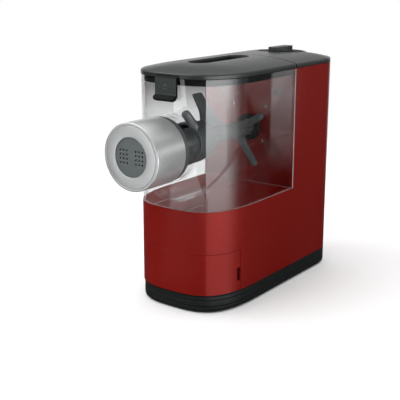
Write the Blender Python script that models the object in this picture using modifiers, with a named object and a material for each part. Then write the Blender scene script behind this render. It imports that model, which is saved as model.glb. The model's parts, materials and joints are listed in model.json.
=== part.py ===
"""Compact electric pasta maker, modelled piece by piece for Blender 4.5.

Metres, +Z up. The pasta comes out towards -Y, the knob is on top at the back.
The origin is on the table, under the middle of the machine's box.
"""

from math import asin, copysign, cos, degrees, pi, radians, sin, sqrt, tau

import bmesh
import bpy
from mathutils import Matrix, Vector

# Fits
SEAT_GAP = 0.0003
RUNNING_GAP = 0.0006
CUT_OVERRUN = 0.002

# Whole body
BODY_WIDTH = 0.135
BODY_LENGTH = 0.2796
RING_REACH = 0.0636
BOW_LENGTH = 0.0985
BOW_POWER = 3.17
CORNER_SPREAD = 0.026
BASE_TOP = 0.0218
DECK_DROP = 0.0702
RIM_RISE = 0.078
COLUMN_FRONT = 0.1639
AXIS_HEIGHT = 0.192
BOW_STEPS = 10
CORNER_STEPS = 6

# Base and feet
FOOT_PROUD = 0.0015
FOOT_RADIUS = 0.0075
FOOT_HEIGHT = 0.0034
FOOT_SIDES = 16
FOOT_SIDE_INSET = 0.0215
FOOT_END_INSET = 0.036
BASE_NOSE_SETBACK = 0.0016
BASE_EDGE = 0.0040
BASE_EDGE_SHARES = ((0.0, 1.0), (0.3, 0.4), (1.0, 0.0))
BASE_LOWER_GROOVE = 0.0082
BASE_UPPER_GROOVE = 0.0154
BASE_GROOVE_WIDTH = 0.0009
BASE_GROOVE_DEPTH = 0.0011
BASE_NECK_HEIGHT = 0.0014
BASE_WALL = 0.0042
BASE_FLOOR = 0.0030

# Housing
LOWER_WALL = 0.0025
COLUMN_WALL = 0.0030
DECK_THICKNESS = 0.0026
PLATE_SCREW_RADIUS = 0.0021
PLATE_SCREW_SHANK = 0.0013
PLATE_SCREW_HEAD = 0.0016
PLATE_SCREW_PLACES = ((0.024, 0.028), (0.020, -0.016))
SWITCH_HOLE_RADIUS = 0.0040
SWITCH_HOLE_PLACE = (0.040, 0.047)
KEY_HOLE_RADIUS = 0.0024
KEY_HOLE_PLACE = (0.0485, 0.0454)
VENT_COUNT = 7
VENT_WIDTH = 0.034
VENT_HEIGHT = 0.0026
VENT_PITCH = 0.0070
VENT_RISE = 0.0282

# Drawer
DRAWER_SEAM = 0.0715
DRAWER_PANEL_END = 0.0512
DRAWER_PANEL_WALL = 0.0026
DRAWER_SLOT_LOW = 0.034
DRAWER_SLOT_HIGH = 0.050
DRAWER_SLOT_DEPTH = 0.0050
GUIDE_WALL = 0.0018
GUIDE_STOP = 0.0100
TRAY_WALL = 0.0018
TRAY_FLOOR = 0.0020
TRAY_TOP = 0.060
POCKET_WALL = 0.0016
POCKET_HEIGHT = 0.008
POCKET_DEPTH = 0.064
POCKET_MARGIN = 0.0006

# Shaping discs
DISC_RADIUS = 0.0286
DISC_BOSS_RADIUS = 0.0216
DISC_FLANGE = 0.0075
DISC_THICKNESS = 0.0130
DISC_HOLE_RADIUS = 0.0011
DISC_HOLE_ROWS = 3
DISC_HOLES_PER_ROW = 4
DISC_HOLE_PITCH = 0.0046
DISC_HOLE_START = 0.0062
DISC_SLOT_LENGTH = 0.026
DISC_SLOT_WIDTH = 0.0018
PENNE_RADIUS = 0.0045
PENNE_CORE_RADIUS = 0.0028
RIBBON_SLOT_LENGTH = 0.0070

# Fixing ring and extrusion tube
RING_RADIUS = 0.0376
RING_LENGTH = 0.0476
RING_EDGE = 0.0012
RING_LIP = 0.0062
RING_BORE_RADIUS = 0.0305
TUBE_BORE_RADIUS = 0.0230
TUBE_RADIUS = 0.0252
TUBE_HEAD_RADIUS = 0.0300
COLLAR_RADIUS = 0.0368
COLLAR_LENGTH = 0.0074
TUBE_END = 0.0262
INLET_START = 0.0085
INLET_WIDTH = 0.026

# Auger
AUGER_RADIUS = 0.0224
AUGER_CORE_RADIUS = 0.0085
AUGER_TIP_RADIUS = 0.0045
AUGER_TAIL_RADIUS = 0.0057
AUGER_PITCH = 0.0225
AUGER_FLIGHT_THICKNESS = 0.0034
AUGER_FLIGHT_END = 0.027
AUGER_END = 0.098
AUGER_STEPS = 16

# Paddle
BELL_RADIUS = 0.0245
BELL_SHOULDER_RADIUS = 0.0215
BELL_WALL = 0.0030
BELL_FRONT = 0.0300
BELL_SHOULDER = 0.0640
BELL_BACK = 0.0790
BOSS_RADIUS = 0.0094
SHAFT_RADIUS = 0.0097
SHAFT_END = 0.1572
SOCKET_DEPTH = 0.0140
DOG_RADIUS = 0.0064
FIN_THICKNESS = 0.0064
FIN_ROUND = 0.0014
FIN_SHAPE = ((0.1130, 0.0080), (0.0960, 0.0220), (0.0800, 0.0370), (0.0690, 0.0490),
             (0.0635, 0.0550), (0.0560, 0.0560), (0.0590, 0.0440), (0.0655, 0.0280),
             (0.0655, 0.0190), (0.0760, 0.0080))

# Chamber
CHAMBER_WALL = 0.0022
TROUGH_INSET = 0.005
NECK_RADIUS = 0.0384
NECK_FRONT = -0.0080
NECK_DEPTH = 0.0070
SEAL_HOLE_RADIUS = 0.0174
RIB_SPREAD = 0.0240
RIB_THICKNESS = 0.0018
RIB_END = 0.034

# Lid
LID_WALL = 0.0025
LID_SPLIT = 0.0008
RIM_EDGE_SHARES = ((0.0, 0.62), (0.10, 0.85), (0.32, 1.0))
RIM_BAND = 0.0054
CROWN_RISE = 0.0074
CROWN_POWER = 2.4
CROWN_SHELL = 0.0030
CROWN_INSET_SHARES = (0.1185, 0.296, 0.563, 0.889)
GASKET_INSET = 0.0031
GASKET_WALL = 0.0020
GASKET_DROP = 0.0065
POUR_FRONT = 0.046
POUR_BACK = 0.150
POUR_HALF_WIDTH = 0.0147
POUR_WALL = 0.0016
POUR_FLOOR_RISE = 0.0020
POUR_DEPTH = 0.0098
POUR_FLOOR = 0.0016
POUR_SLOT_HALF_WIDTH = 0.0032
POUR_SLOT_END_INSET = 0.010

# Latch
LATCH_HALF_WIDTH = 0.0147
LATCH_AXIS_RISE = 0.0017
LATCH_AXIS_DEPTH = 0.0004
LATCH_KNUCKLE_RADIUS = 0.0013
LATCH_BACK = -0.0006
LATCH_FACE = -0.0036
LATCH_LIP_REACH = 0.0058
LATCH_LIP_DROP = 0.0204
LATCH_LIP_HEIGHT = 0.0058
LATCH_RECESS_HEIGHT = 0.0036
LATCH_RECESS_DEPTH = 0.0022

# Rear cover and knob
DISH_CENTRE = 0.237
DISH_RADIUS = 0.0305
DISH_RISE = 0.0100
DISH_SHELL = 0.0030
KNOB_HEIGHT = 0.0077
KNOB_SKIRT_HEIGHT = 0.0012
KNOB_BAR_WIDTH = 0.0145
KNOB_BAR_LENGTH = 0.040
KNOB_BAR_ROUND = 0.0024
KNOB_SHAFT_RADIUS = 0.0037
KNOB_SHAFT_LENGTH = 0.0230
GRIP_COUNT = 4
GRIP_WIDTH = 0.0011
GRIP_PITCH = 0.0024
GRIP_DEPTH = 0.0007
BOARD_DROP = 0.0240
BOARD_THICKNESS = 0.0016
BOARD_SIDE_INSET = 0.0225
BOARD_FRONT = 0.205
BOARD_BACK = 0.269
POST_RADIUS = 0.0032
POST_INSET = 0.006
SWITCH_BODY_SIDE = 0.022
SWITCH_BODY_HEIGHT = 0.0135

# Gearbox: teeth of pinion and wheel, and the size of a tooth, motor stage first
STAGES = ((10, 36, 0.00125), (10, 32, 0.0016), (10, 28, 0.0022))
TOOTH_SHARES = (0.80, 1.05)
FLANK_SHARES = (0.320, 0.105)
GEAR_WIDTH = 0.0060
GEAR_SPACE = 0.0010
PLATE_THICKNESS = 0.0025
PLATE_HALF_WIDTH = 0.043
PLATE_TOP_MARGIN = 0.037
PLATE_BOTTOM_MARGIN = 0.02185
PLATE_ROUND = 0.008
PLATE_POST_RADIUS = 0.0040
PLATE_POST_INSET = 0.0065
AXLE_RADIUS = 0.0025
DRIVE_SHAFT_RADIUS = 0.0060
FRONT_BEARING_RADIUS = 0.0118
REAR_BEARING_RADIUS = 0.0095
BEARING_WIDTH = 0.0046
SEAL_RADIUS = 0.0167
SEAL_FRONT = 0.1606
SEAL_WIDTH = 0.0044
COUPLING_RADIUS = 0.0099
COUPLING_FRONT = 0.1576
DOG_LENGTH = 0.0120

# Motor
MOTOR_RADIUS = 0.0310
MOTOR_LENGTH = 0.0600
MOTOR_NOSE_RADIUS = 0.0120
MOTOR_NOSE_LENGTH = 0.0040
MOTOR_EDGE = 0.0030
ROTOR_RADIUS = 0.0030
FAN_RADIUS = 0.0260
FAN_WIDTH = 0.0080
FAN_HUB_RADIUS = 0.0080
FAN_BLADES = 7
FAN_BLADE_THICKNESS = 0.0014
CRADLE_HALF_WIDTH = 0.024
CRADLE_THICKNESS = 0.0040
CRADLE_INSET = 0.010

# Cord inlet
INLET_HEIGHT = 0.045
INLET_BUSH_RADIUS = 0.0070
INLET_FLANGE_RADIUS = 0.0095
INLET_BORE_RADIUS = 0.0040
INLET_BUSH_LENGTH = 0.0080
INLET_FLANGE_WIDTH = 0.0020

# Limbs of the paddle: angle from +X in degrees, radius and depth at the root, then at the tip
# its distance short of the trough and its depth
LIMB_ROOT_SIZE = (0.0066, 0.0040)
LIMB_TIP_SIZE = (0.0052, 0.0034)
LIMB_RIGHT = (30.0, 0.0050, 0.141, 0.0145, 0.131)
LIMB_LOWER = (-54.0, 0.0050, 0.139, 0.0085, 0.134)
SCRAPER_ROOT = (40.0, 0.0215, 0.0405)
SCRAPER_TIP = (86.0, 0.0400, 0.0245)
SCRAPER_SIZE = (0.0068, 0.0036)
LIMB_SHARES = ((0.0, 1.0), (0.45, 1.0), (0.86, 1.0), (0.96, 0.86), (1.0, 0.55))
LIMB_SIDES = 12

# Worked out from the sizes above
HALF_WIDTH = BODY_WIDTH / 2
CORNER_RADIUS = HALF_WIDTH - CORNER_SPREAD
TROUGH_RADIUS = HALF_WIDTH - TROUGH_INSET
FOOT_SPREAD = HALF_WIDTH - FOOT_SIDE_INSET
CROWN_INSETS = tuple(HALF_WIDTH * share for share in CROWN_INSET_SHARES)
DECK_TOP = AXIS_HEIGHT - DECK_DROP
RIM_HEIGHT = AXIS_HEIGHT + RIM_RISE
VENT_BOTTOM = DECK_TOP + VENT_RISE
GASKET_BOTTOM = RIM_HEIGHT - GASKET_DROP
POUR_FLOOR_HEIGHT = RIM_HEIGHT + POUR_FLOOR_RISE
POUR_RIM_HEIGHT = POUR_FLOOR_HEIGHT + POUR_DEPTH
LATCH_AXIS_HEIGHT = RIM_HEIGHT + LATCH_AXIS_RISE
LATCH_LIP_TOP = RIM_HEIGHT - LATCH_LIP_DROP
LATCH_BOTTOM = LATCH_LIP_TOP - LATCH_LIP_HEIGHT
DISH_FLOOR = RIM_HEIGHT + DISH_RISE
KNOB_TOP = DISH_FLOOR + KNOB_HEIGHT
BOARD_BOTTOM = RIM_HEIGHT - BOARD_DROP
BOARD_HALF_WIDTH = HALF_WIDTH - BOARD_SIDE_INSET
FRONT_Y = (RING_REACH - BODY_LENGTH) / 2
REAR_Y = FRONT_Y + BODY_LENGTH
COLUMN_Y = FRONT_Y + COLUMN_FRONT
RIM_TOP = RIM_HEIGHT + RIM_BAND
INNER_INSET = LOWER_WALL + SEAT_GAP
POCKET_BORE = DISC_RADIUS + SEAT_GAP
CHAMBER_BACK = COLUMN_FRONT - SEAT_GAP
CHAMBER_INNER = SEAT_GAP + CHAMBER_WALL
LID_BACK = COLUMN_FRONT - LID_SPLIT
BASE_INSIDE = FOOT_PROUD + BASE_FLOOR
GEAR_BOX_FRONT = COLUMN_FRONT + COLUMN_WALL + SEAT_GAP
STAGE_REACHES = tuple((small + large) * module / 2 for small, large, module in STAGES)
MOTOR_HEIGHT = AXIS_HEIGHT - sum(STAGE_REACHES)
LOWER_IDLER_HEIGHT = MOTOR_HEIGHT + STAGE_REACHES[0]
UPPER_IDLER_HEIGHT = LOWER_IDLER_HEIGHT + STAGE_REACHES[1]
PLATE_TOP = AXIS_HEIGHT + PLATE_TOP_MARGIN
PLATE_BOTTOM = MOTOR_HEIGHT - PLATE_BOTTOM_MARGIN
GEAR_STEP = GEAR_WIDTH + GEAR_SPACE
DRIVE_GEAR_FRONT = GEAR_BOX_FRONT + PLATE_THICKNESS + GEAR_SPACE
STAGE_FRONTS = tuple(DRIVE_GEAR_FRONT + GEAR_STEP * level for level in (2, 1, 0))
REAR_PLATE_FRONT = DRIVE_GEAR_FRONT + GEAR_STEP * len(STAGES)
MOTOR_FRONT = REAR_PLATE_FRONT + PLATE_THICKNESS + SEAT_GAP
MOTOR_BACK = MOTOR_FRONT + MOTOR_LENGTH
UP_Y = Matrix.Rotation(-pi / 2, 4, "X")


def depth(distance):
    """The y of a place this far behind the front of the body."""
    return FRONT_Y + distance


# Scene


def clear_scene():
    for obj in list(bpy.data.objects):
        bpy.data.objects.remove(obj, do_unlink=True)


def new_collection(name):
    collection = bpy.data.collections.new(name)
    bpy.context.scene.collection.children.link(collection)
    return collection


def new_material(name, colour, roughness, metallic=0.0, alpha=1.0):
    material = bpy.data.materials.new(name)
    material.use_nodes = True
    shader = material.node_tree.nodes["Principled BSDF"]
    shader.inputs["Base Color"].default_value = (*colour, 1.0)
    shader.inputs["Roughness"].default_value = roughness
    shader.inputs["Metallic"].default_value = metallic
    shader.inputs["Alpha"].default_value = alpha
    return material


clear_scene()
PARTS = new_collection("pasta_maker")
CUTTERS = new_collection("cutters")
RED = new_material("red_paint", (0.23, 0.018, 0.014), 0.35, 0.3)
CHARCOAL = new_material("charcoal_plastic", (0.055, 0.060, 0.062), 0.45)
BLACK = new_material("black_plastic", (0.016, 0.018, 0.018), 0.4)
SILVER = new_material("silver_plastic", (0.36, 0.37, 0.38), 0.38, 0.4)
CLEAR = new_material("clear_plastic", (0.85, 0.87, 0.88), 0.05, 0.0, 0.3)
GREY = new_material("grey_plastic", (0.30, 0.32, 0.33), 0.45)
RUBBER = new_material("rubber", (0.02, 0.02, 0.02), 0.85)
STEEL = new_material("steel", (0.55, 0.56, 0.58), 0.3, 1.0)
NYLON = new_material("gear_nylon", (0.72, 0.70, 0.62), 0.5)
BOARD_GREEN = new_material("circuit_board", (0.03, 0.14, 0.06), 0.5)


def new_object(name, mesh, material=None, place=None):
    """A mesh as a visible part, or as a helper when it has no material."""
    obj = bpy.data.objects.new(name, mesh)
    (PARTS if material else CUTTERS).objects.link(obj)
    if material:
        mesh.materials.append(material)
    else:
        obj.hide_render = True
        obj.display_type = "WIRE"
    if place is not None:
        obj.matrix_world = place
    return obj


def mesh_from(bm, name):
    mesh = bpy.data.meshes.new(name)
    bm.to_mesh(mesh)
    bm.free()
    return mesh


def smooth(obj, angle=radians(32)):
    obj.data.shade_smooth()
    obj.data.set_sharp_from_angle(angle=angle)
    return obj


# Shapes


def axes_for(axis, middle):
    """Where a flat outline lies: XY for axis Z, XZ for axis Y and YZ for axis X."""
    if axis == "Z":
        return Matrix.Translation((0, 0, middle))
    if axis == "Y":
        return Matrix.Translation((0, middle, 0)) @ Matrix.Rotation(pi / 2, 4, "X")
    turn = Matrix(((0, 0, 1, 0), (1, 0, 0, 0), (0, 1, 0, 0), (0, 0, 0, 1)))
    return Matrix.Translation((middle, 0, 0)) @ turn


def extruded(name, outlines, low, high, material=None, axis="Z"):
    """Flat outlines pulled along an axis. The first is the outer one, the rest are holes."""
    curve = bpy.data.curves.new(name, "CURVE")
    curve.dimensions = "2D"
    curve.fill_mode = "BOTH"
    curve.extrude = (high - low) / 2
    for outline in outlines:
        spline = curve.splines.new("POLY")
        spline.points.add(len(outline) - 1)
        for point, (across, up) in zip(spline.points, outline):
            point.co = (across, up, 0, 1)
        spline.use_cyclic_u = True
    guide = bpy.data.objects.new(name + "_curve", curve)
    CUTTERS.objects.link(guide)
    graph = bpy.context.evaluated_depsgraph_get()
    mesh = bpy.data.meshes.new_from_object(guide.evaluated_get(graph))
    bpy.data.objects.remove(guide, do_unlink=True)
    bm = bmesh.new()
    bm.from_mesh(mesh)
    bmesh.ops.remove_doubles(bm, verts=bm.verts, dist=SEAT_GAP / 100)
    bmesh.ops.recalc_face_normals(bm, faces=bm.faces)
    bm.to_mesh(mesh)
    bm.free()
    mesh.materials.clear()
    mesh.name = name
    return new_object(name, mesh, material, axes_for(axis, (low + high) / 2))


def turned(name, profile, material=None, steps=40, place=None, closed=False):
    """A profile of (radius, along) pairs turned round its own Z with a Screw modifier.

    A closed profile makes a ring, and an open one runs from the axis to the axis.
    """
    area = sum(a[0] * b[1] - b[0] * a[1] for a, b in zip(profile, profile[1:] + profile[:1]))
    points = list(profile) if area < 0 else list(reversed(profile))
    bm = bmesh.new()
    verts = [bm.verts.new((radius, 0, along)) for radius, along in points]
    for start, end in zip(verts, verts[1:]):
        bm.edges.new((start, end))
    if closed:
        bm.edges.new((verts[-1], verts[0]))
    obj = new_object(name, mesh_from(bm, name), material, place)
    screw = obj.modifiers.new("turn", "SCREW")
    screw.angle = tau
    screw.steps = steps
    screw.render_steps = steps
    screw.use_merge_vertices = True
    screw.merge_threshold = SEAT_GAP / 100
    screw.use_smooth_shade = False
    return obj


def drum(name, radius, low, high, material=None, steps=32, place=None):
    """A cylinder along its own Z."""
    bm = bmesh.new()
    bmesh.ops.create_cone(bm, cap_ends=True, segments=steps, radius1=radius, radius2=radius,
                          depth=high - low)
    bmesh.ops.translate(bm, verts=bm.verts, vec=(0, 0, (low + high) / 2))
    return new_object(name, mesh_from(bm, name), material, place)


def across_y(x=0.0, z=AXIS_HEIGHT):
    """Turns a shape's own Z into the machine's depth, measured from the body's front."""
    return Matrix.Translation((x, FRONT_Y, z)) @ UP_Y


def block(name, x_range, y_range, z_range, material=None):
    bm = bmesh.new()
    bmesh.ops.create_cube(bm, size=1)
    ranges = (x_range, y_range, z_range)
    size = [high - low for low, high in ranges]
    middle = [(high + low) / 2 for low, high in ranges]
    bmesh.ops.scale(bm, verts=bm.verts, vec=size)
    bmesh.ops.translate(bm, verts=bm.verts, vec=middle)
    return new_object(name, mesh_from(bm, name), material)


def loft(name, rings, material=None, wrap=False):
    """Faces between rings with equal counts of points, with a cap at both ends."""
    bm = bmesh.new()
    rows = [[bm.verts.new(point) for point in ring] for ring in rings]
    count = len(rows[0])
    for low, high in zip(rows, rows[1:]):
        for index in range(count):
            after = (index + 1) % count
            bm.faces.new((low[index], low[after], high[after], high[index]))
    if not wrap:
        bm.faces.new(list(reversed(rows[0])))
        bm.faces.new(rows[-1])
    bmesh.ops.recalc_face_normals(bm, faces=bm.faces)
    return new_object(name, mesh_from(bm, name), material)


def combine(target, pieces, operation):
    for piece in pieces:
        modifier = target.modifiers.new(piece.name, "BOOLEAN")
        modifier.operation = operation
        modifier.solver = "EXACT"
        modifier.object = piece
    return target


def cut(target, *cutters):
    return combine(target, cutters, "DIFFERENCE")


def join(target, *pieces):
    return combine(target, pieces, "UNION")


def trim(target, *limits):
    return combine(target, limits, "INTERSECT")


def assembly(name, place):
    """An empty on a joint's axis, which carries a moving piece."""
    carrier = bpy.data.objects.new(name, None)
    carrier.location = place
    carrier.empty_display_size = SHAFT_RADIUS
    PARTS.objects.link(carrier)
    return carrier


def carry(carrier, *pieces):
    """Parents pieces to a carrier and leaves them where they are."""
    for piece in pieces:
        piece.parent = carrier
        piece.matrix_parent_inverse = Matrix.Translation(carrier.location).inverted()


# Outlines


def arc(centre, radius, start, end, steps):
    """Points on an arc between two angles in degrees."""
    return [(centre[0] + radius * cos(radians(start + (end - start) * step / steps)),
             centre[1] + radius * sin(radians(start + (end - start) * step / steps)))
            for step in range(steps + 1)]


def circle(centre, radius, steps, start=0.0):
    return arc(centre, radius, start, start + 360, steps)[:-1]


def bow(inset, setback=0.0):
    """The body's curved front from its left side to its right side, seen from above."""
    half = HALF_WIDTH - inset
    front = FRONT_Y + inset + setback
    length = BOW_LENGTH - inset - setback
    points = []
    for step in range(-BOW_STEPS, BOW_STEPS + 1):
        angle = pi / 2 * step / BOW_STEPS
        across = copysign(abs(sin(angle)) ** (2 / BOW_POWER), step)
        along = abs(cos(angle)) ** (2 / BOW_POWER) if abs(step) < BOW_STEPS else 0.0
        points.append((half * across, front + length * (1 - along)))
    return points


def arch_outline(inset, back):
    """The bow closed by a straight edge at this distance behind the body's front."""
    half = HALF_WIDTH - inset
    return bow(inset) + [(half, depth(back)), (-half, depth(back))]


def short_outline(inset, back):
    """The part of the bow ahead of a straight edge that crosses its curve or its sides."""
    limit = depth(back)
    ahead = [point for point in bow(inset) if point[1] < limit]
    half = HALF_WIDTH - inset
    length = BOW_LENGTH - inset
    share = max(0.0, 1 - (limit - FRONT_Y - inset) / length)
    edge = half * (1 - share ** BOW_POWER) ** (1 / BOW_POWER)
    return ahead + [(edge, limit), (-edge, limit)]


def drawer_outline(inset, back):
    """The bow as far as the drawer panel's end, then straight sides, so that it can slide out."""
    limit = depth(DRAWER_PANEL_END)
    nose = short_outline(inset, DRAWER_PANEL_END)
    edge = nose[-2][0]
    return nose[:-1] + [(edge, depth(back)), (-edge, depth(back)), (-edge, limit)]


def rear_corners(inset):
    """The two rear corners, from the right side round to the left."""
    radius = CORNER_RADIUS - inset
    middle = HALF_WIDTH - CORNER_RADIUS
    back = REAR_Y - CORNER_RADIUS
    if radius < SEAT_GAP:
        middle = max(HALF_WIDTH - inset - SEAT_GAP, SEAT_GAP)
        back = REAR_Y - inset - SEAT_GAP
        radius = SEAT_GAP
    right = arc((middle, back), radius, 0, 90, CORNER_STEPS)
    left = arc((-middle, back), radius, 90, 180, CORNER_STEPS)
    return right + left


def body_outline(inset, setback=0.0):
    return bow(inset, setback) + rear_corners(inset)


def column_outline(inset, front):
    """The column's plan: a straight front at this distance and round rear corners."""
    half = HALF_WIDTH - inset
    return [(-half, depth(front)), (half, depth(front))] + rear_corners(inset)


def stadium(half_width, low, high, steps=6, across=0.0):
    """A slot along Y with round ends, between two depths."""
    front = arc((across, depth(low) + half_width), half_width, 180, 360, steps)
    back = arc((across, depth(high) - half_width), half_width, 0, 180, steps)
    return front + back


def rounded_panel(half_width, low, high, radius, steps=3):
    """A rectangle in XZ with round corners."""
    x = half_width - radius
    bottom = low + radius
    top = high - radius
    return (arc((x, bottom), radius, -90, 0, steps) + arc((x, top), radius, 0, 90, steps)
            + arc((-x, top), radius, 90, 180, steps) + arc((-x, bottom), radius, 180, 270, steps))


def at_height(outline, height):
    return [(x, y, height) for x, y in outline]


def crown(inset):
    """Height of the domed top at this distance in from the side."""
    return RIM_TOP + CROWN_RISE * (1 - (1 - inset / HALF_WIDTH) ** CROWN_POWER)


def domed_shell(name, outline, inner_outline, material):
    """A domed cover, open below: ceiling, inner wall, rim, outer wall and crown."""
    rings = []
    for inset in reversed(CROWN_INSETS):
        rings.append(at_height(inner_outline(inset), crown(inset) - CROWN_SHELL))
    bottom = RIM_HEIGHT + SEAT_GAP
    rings.append(at_height(inner_outline(LID_WALL), crown(LID_WALL) - CROWN_SHELL))
    rings.append(at_height(inner_outline(LID_WALL), bottom))
    rings.append(at_height(outline(0.0), bottom))
    for inset_share, height_share in RIM_EDGE_SHARES:
        rings.append(at_height(outline(RIM_BAND * inset_share), RIM_HEIGHT + RIM_BAND * height_share))
    for inset in CROWN_INSETS:
        rings.append(at_height(outline(inset), crown(inset)))
    return loft(name, rings, material)


# Base and housing


def base_profile():
    """(height, inset) pairs of the base's outer side, from the table up."""
    profile = [(FOOT_PROUD + BASE_EDGE * up, BASE_EDGE * inward) for up, inward in BASE_EDGE_SHARES]
    for groove in (BASE_LOWER_GROOVE, BASE_UPPER_GROOVE):
        profile += [(groove, 0.0), (groove, BASE_GROOVE_DEPTH),
                    (groove + BASE_GROOVE_WIDTH, BASE_GROOVE_DEPTH), (groove + BASE_GROOVE_WIDTH, 0.0)]
    neck = BASE_TOP - BASE_NECK_HEIGHT
    return profile + [(neck, 0.0), (neck, BASE_GROOVE_DEPTH), (BASE_TOP, BASE_GROOVE_DEPTH)]


def make_base():
    rings = [at_height(body_outline(inset, BASE_NOSE_SETBACK), height)
             for height, inset in base_profile()]
    base = loft("base_tray", rings, CHARCOAL)
    inside = extruded("base_inside", [body_outline(BASE_WALL, BASE_NOSE_SETBACK)],
                      BASE_INSIDE, BASE_TOP + CUT_OVERRUN)
    cut(base, inside)
    for side, across in (("left", -FOOT_SPREAD), ("right", FOOT_SPREAD)):
        for end, along in (("front", FOOT_END_INSET), ("rear", BODY_LENGTH - FOOT_END_INSET)):
            place = Matrix.Translation((across, depth(along), 0))
            drum(f"foot_{end}_{side}", FOOT_RADIUS, 0, FOOT_HEIGHT, RUBBER, FOOT_SIDES, place)
            cut(base, drum(f"foot_{end}_{side}_recess", FOOT_RADIUS + SEAT_GAP, -CUT_OVERRUN,
                           FOOT_HEIGHT + SEAT_GAP, None, FOOT_SIDES, place))
    return base


def make_housing():
    """The painted shell: lower body with its deck, and the column at the back."""
    bottom = BASE_TOP + SEAT_GAP
    shell = extruded("housing_shell", [body_outline(0.0)], bottom, RIM_HEIGHT, RED)
    side = HALF_WIDTH + CUT_OVERRUN
    front = FRONT_Y - CUT_OVERRUN
    chamber_space = block("chamber_space", (-side, side), (front, COLUMN_Y),
                          (DECK_TOP, RIM_HEIGHT + CUT_OVERRUN))
    lower_inside = extruded("lower_inside", [body_outline(LOWER_WALL)], bottom - CUT_OVERRUN,
                            DECK_TOP - DECK_THICKNESS)
    column_inside = extruded("column_inside",
                             [column_outline(COLUMN_WALL, COLUMN_FRONT + COLUMN_WALL)],
                             DECK_TOP - DECK_THICKNESS - CUT_OVERRUN, RIM_HEIGHT + CUT_OVERRUN)
    drawer_space = block("drawer_space", (-side, side), (front, depth(DRAWER_PANEL_END + SEAT_GAP)),
                         (bottom - CUT_OVERRUN, DRAWER_SEAM))
    cut(shell, chamber_space, lower_inside, column_inside, drawer_space)
    drill = (COLUMN_FRONT - CUT_OVERRUN, COLUMN_FRONT + COLUMN_WALL + CUT_OVERRUN)
    cut(shell, drum("seal_hole", SEAL_RADIUS + SEAT_GAP, *drill, None, 36, across_y()))
    holes = [(PLATE_SCREW_RADIUS, place) for place in PLATE_SCREW_PLACES]
    holes += [(SWITCH_HOLE_RADIUS, SWITCH_HOLE_PLACE), (KEY_HOLE_RADIUS, KEY_HOLE_PLACE)]
    for index, (radius, (across, up)) in enumerate(holes):
        for side_sign in (-1, 1):
            place = across_y(across * side_sign, AXIS_HEIGHT + up)
            cut(shell, drum(f"wall_hole_{index}_{side_sign}", radius, *drill, None, 12, place))
    back = (REAR_Y - COLUMN_WALL - CUT_OVERRUN, REAR_Y + CUT_OVERRUN)
    for index in range(VENT_COUNT):
        low = VENT_BOTTOM + VENT_PITCH * index
        cut(shell, block(f"vent_{index}", (-VENT_WIDTH / 2, VENT_WIDTH / 2), back,
                         (low, low + VENT_HEIGHT)))
    inlet = drum("inlet_hole", INLET_BUSH_RADIUS + SEAT_GAP,
                 BODY_LENGTH - COLUMN_WALL - CUT_OVERRUN, BODY_LENGTH + CUT_OVERRUN, None, 20,
                 across_y(0, INLET_HEIGHT))
    return cut(shell, inlet)


def make_cord_inlet():
    """The bush in the rear wall that the mains lead would pass through."""
    inner_face = BODY_LENGTH - LOWER_WALL - SEAT_GAP
    flange_back = inner_face - INLET_FLANGE_WIDTH
    profile = [(INLET_BORE_RADIUS, BODY_LENGTH), (INLET_BUSH_RADIUS, BODY_LENGTH),
               (INLET_BUSH_RADIUS, inner_face), (INLET_FLANGE_RADIUS, inner_face),
               (INLET_FLANGE_RADIUS, flange_back), (INLET_BORE_RADIUS, flange_back)]
    return turned("cord_inlet_bush", profile, BLACK, 20, across_y(0, INLET_HEIGHT), closed=True)


# Drawer


def disc_blank(name, place, material):
    """A shaping disc: a flange with a boss that fills the ring's opening."""
    profile = [(0.0, -DISC_THICKNESS), (DISC_BOSS_RADIUS, -DISC_THICKNESS),
               (DISC_BOSS_RADIUS, -DISC_FLANGE), (DISC_RADIUS, -DISC_FLANGE), (DISC_RADIUS, 0.0),
               (0.0, 0.0)]
    return turned(name, profile, material, 32, place)


def through_disc(name, outline, place):
    """A cutter of this outline through a whole disc."""
    cutter = extruded(name, [outline], -DISC_THICKNESS - CUT_OVERRUN, CUT_OVERRUN)
    cutter.matrix_world = place @ cutter.matrix_world
    return cutter


def make_spaghetti_disc(place):
    disc = disc_blank("spaghetti_disc", place, GREY)
    for side in (-1, 1):
        for row in range(DISC_HOLE_ROWS):
            x = side * (DISC_HOLE_START + DISC_HOLE_PITCH * row)
            for column in range(DISC_HOLES_PER_ROW):
                y = DISC_HOLE_PITCH * (column - (DISC_HOLES_PER_ROW - 1) / 2)
                outline = circle((x, y), DISC_HOLE_RADIUS, 6)
                cut(disc, through_disc(f"strand_hole_{side}_{row}_{column}", outline, place))
    return disc


def make_lasagne_disc(place):
    disc = disc_blank("lasagne_disc", place, GREY)
    for side in (-1, 1):
        half = DISC_SLOT_LENGTH / 2
        low = side * DISC_BOSS_RADIUS / 2 - DISC_SLOT_WIDTH / 2
        outline = [(-half, low), (half, low), (half, low + DISC_SLOT_WIDTH),
                   (-half, low + DISC_SLOT_WIDTH)]
        cut(disc, through_disc(f"sheet_slot_{side}", outline, place))
    return disc


def make_penne_disc(place):
    disc = disc_blank("penne_disc", place, GREY)
    count = 3
    for index in range(count):
        angle = tau * index / count
        centre = (DISC_BOSS_RADIUS / 2 * cos(angle), DISC_BOSS_RADIUS / 2 * sin(angle))
        outline = circle(centre, PENNE_RADIUS, 12)
        cut(disc, through_disc(f"tube_hole_{index}", outline, place))
    return disc


def pocket_places(inset):
    """Two bores as far apart as this inset allows, and one further back as far as they need."""
    edge = short_outline(inset, DRAWER_PANEL_END)[-2][0]
    spread = edge - POCKET_MARGIN - POCKET_BORE
    pitch = POCKET_BORE * 2 + POCKET_WALL
    step = sqrt(max(0.0, pitch ** 2 - (spread * 2) ** 2))
    return (-spread, POCKET_DEPTH), (spread, POCKET_DEPTH + step)


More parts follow.
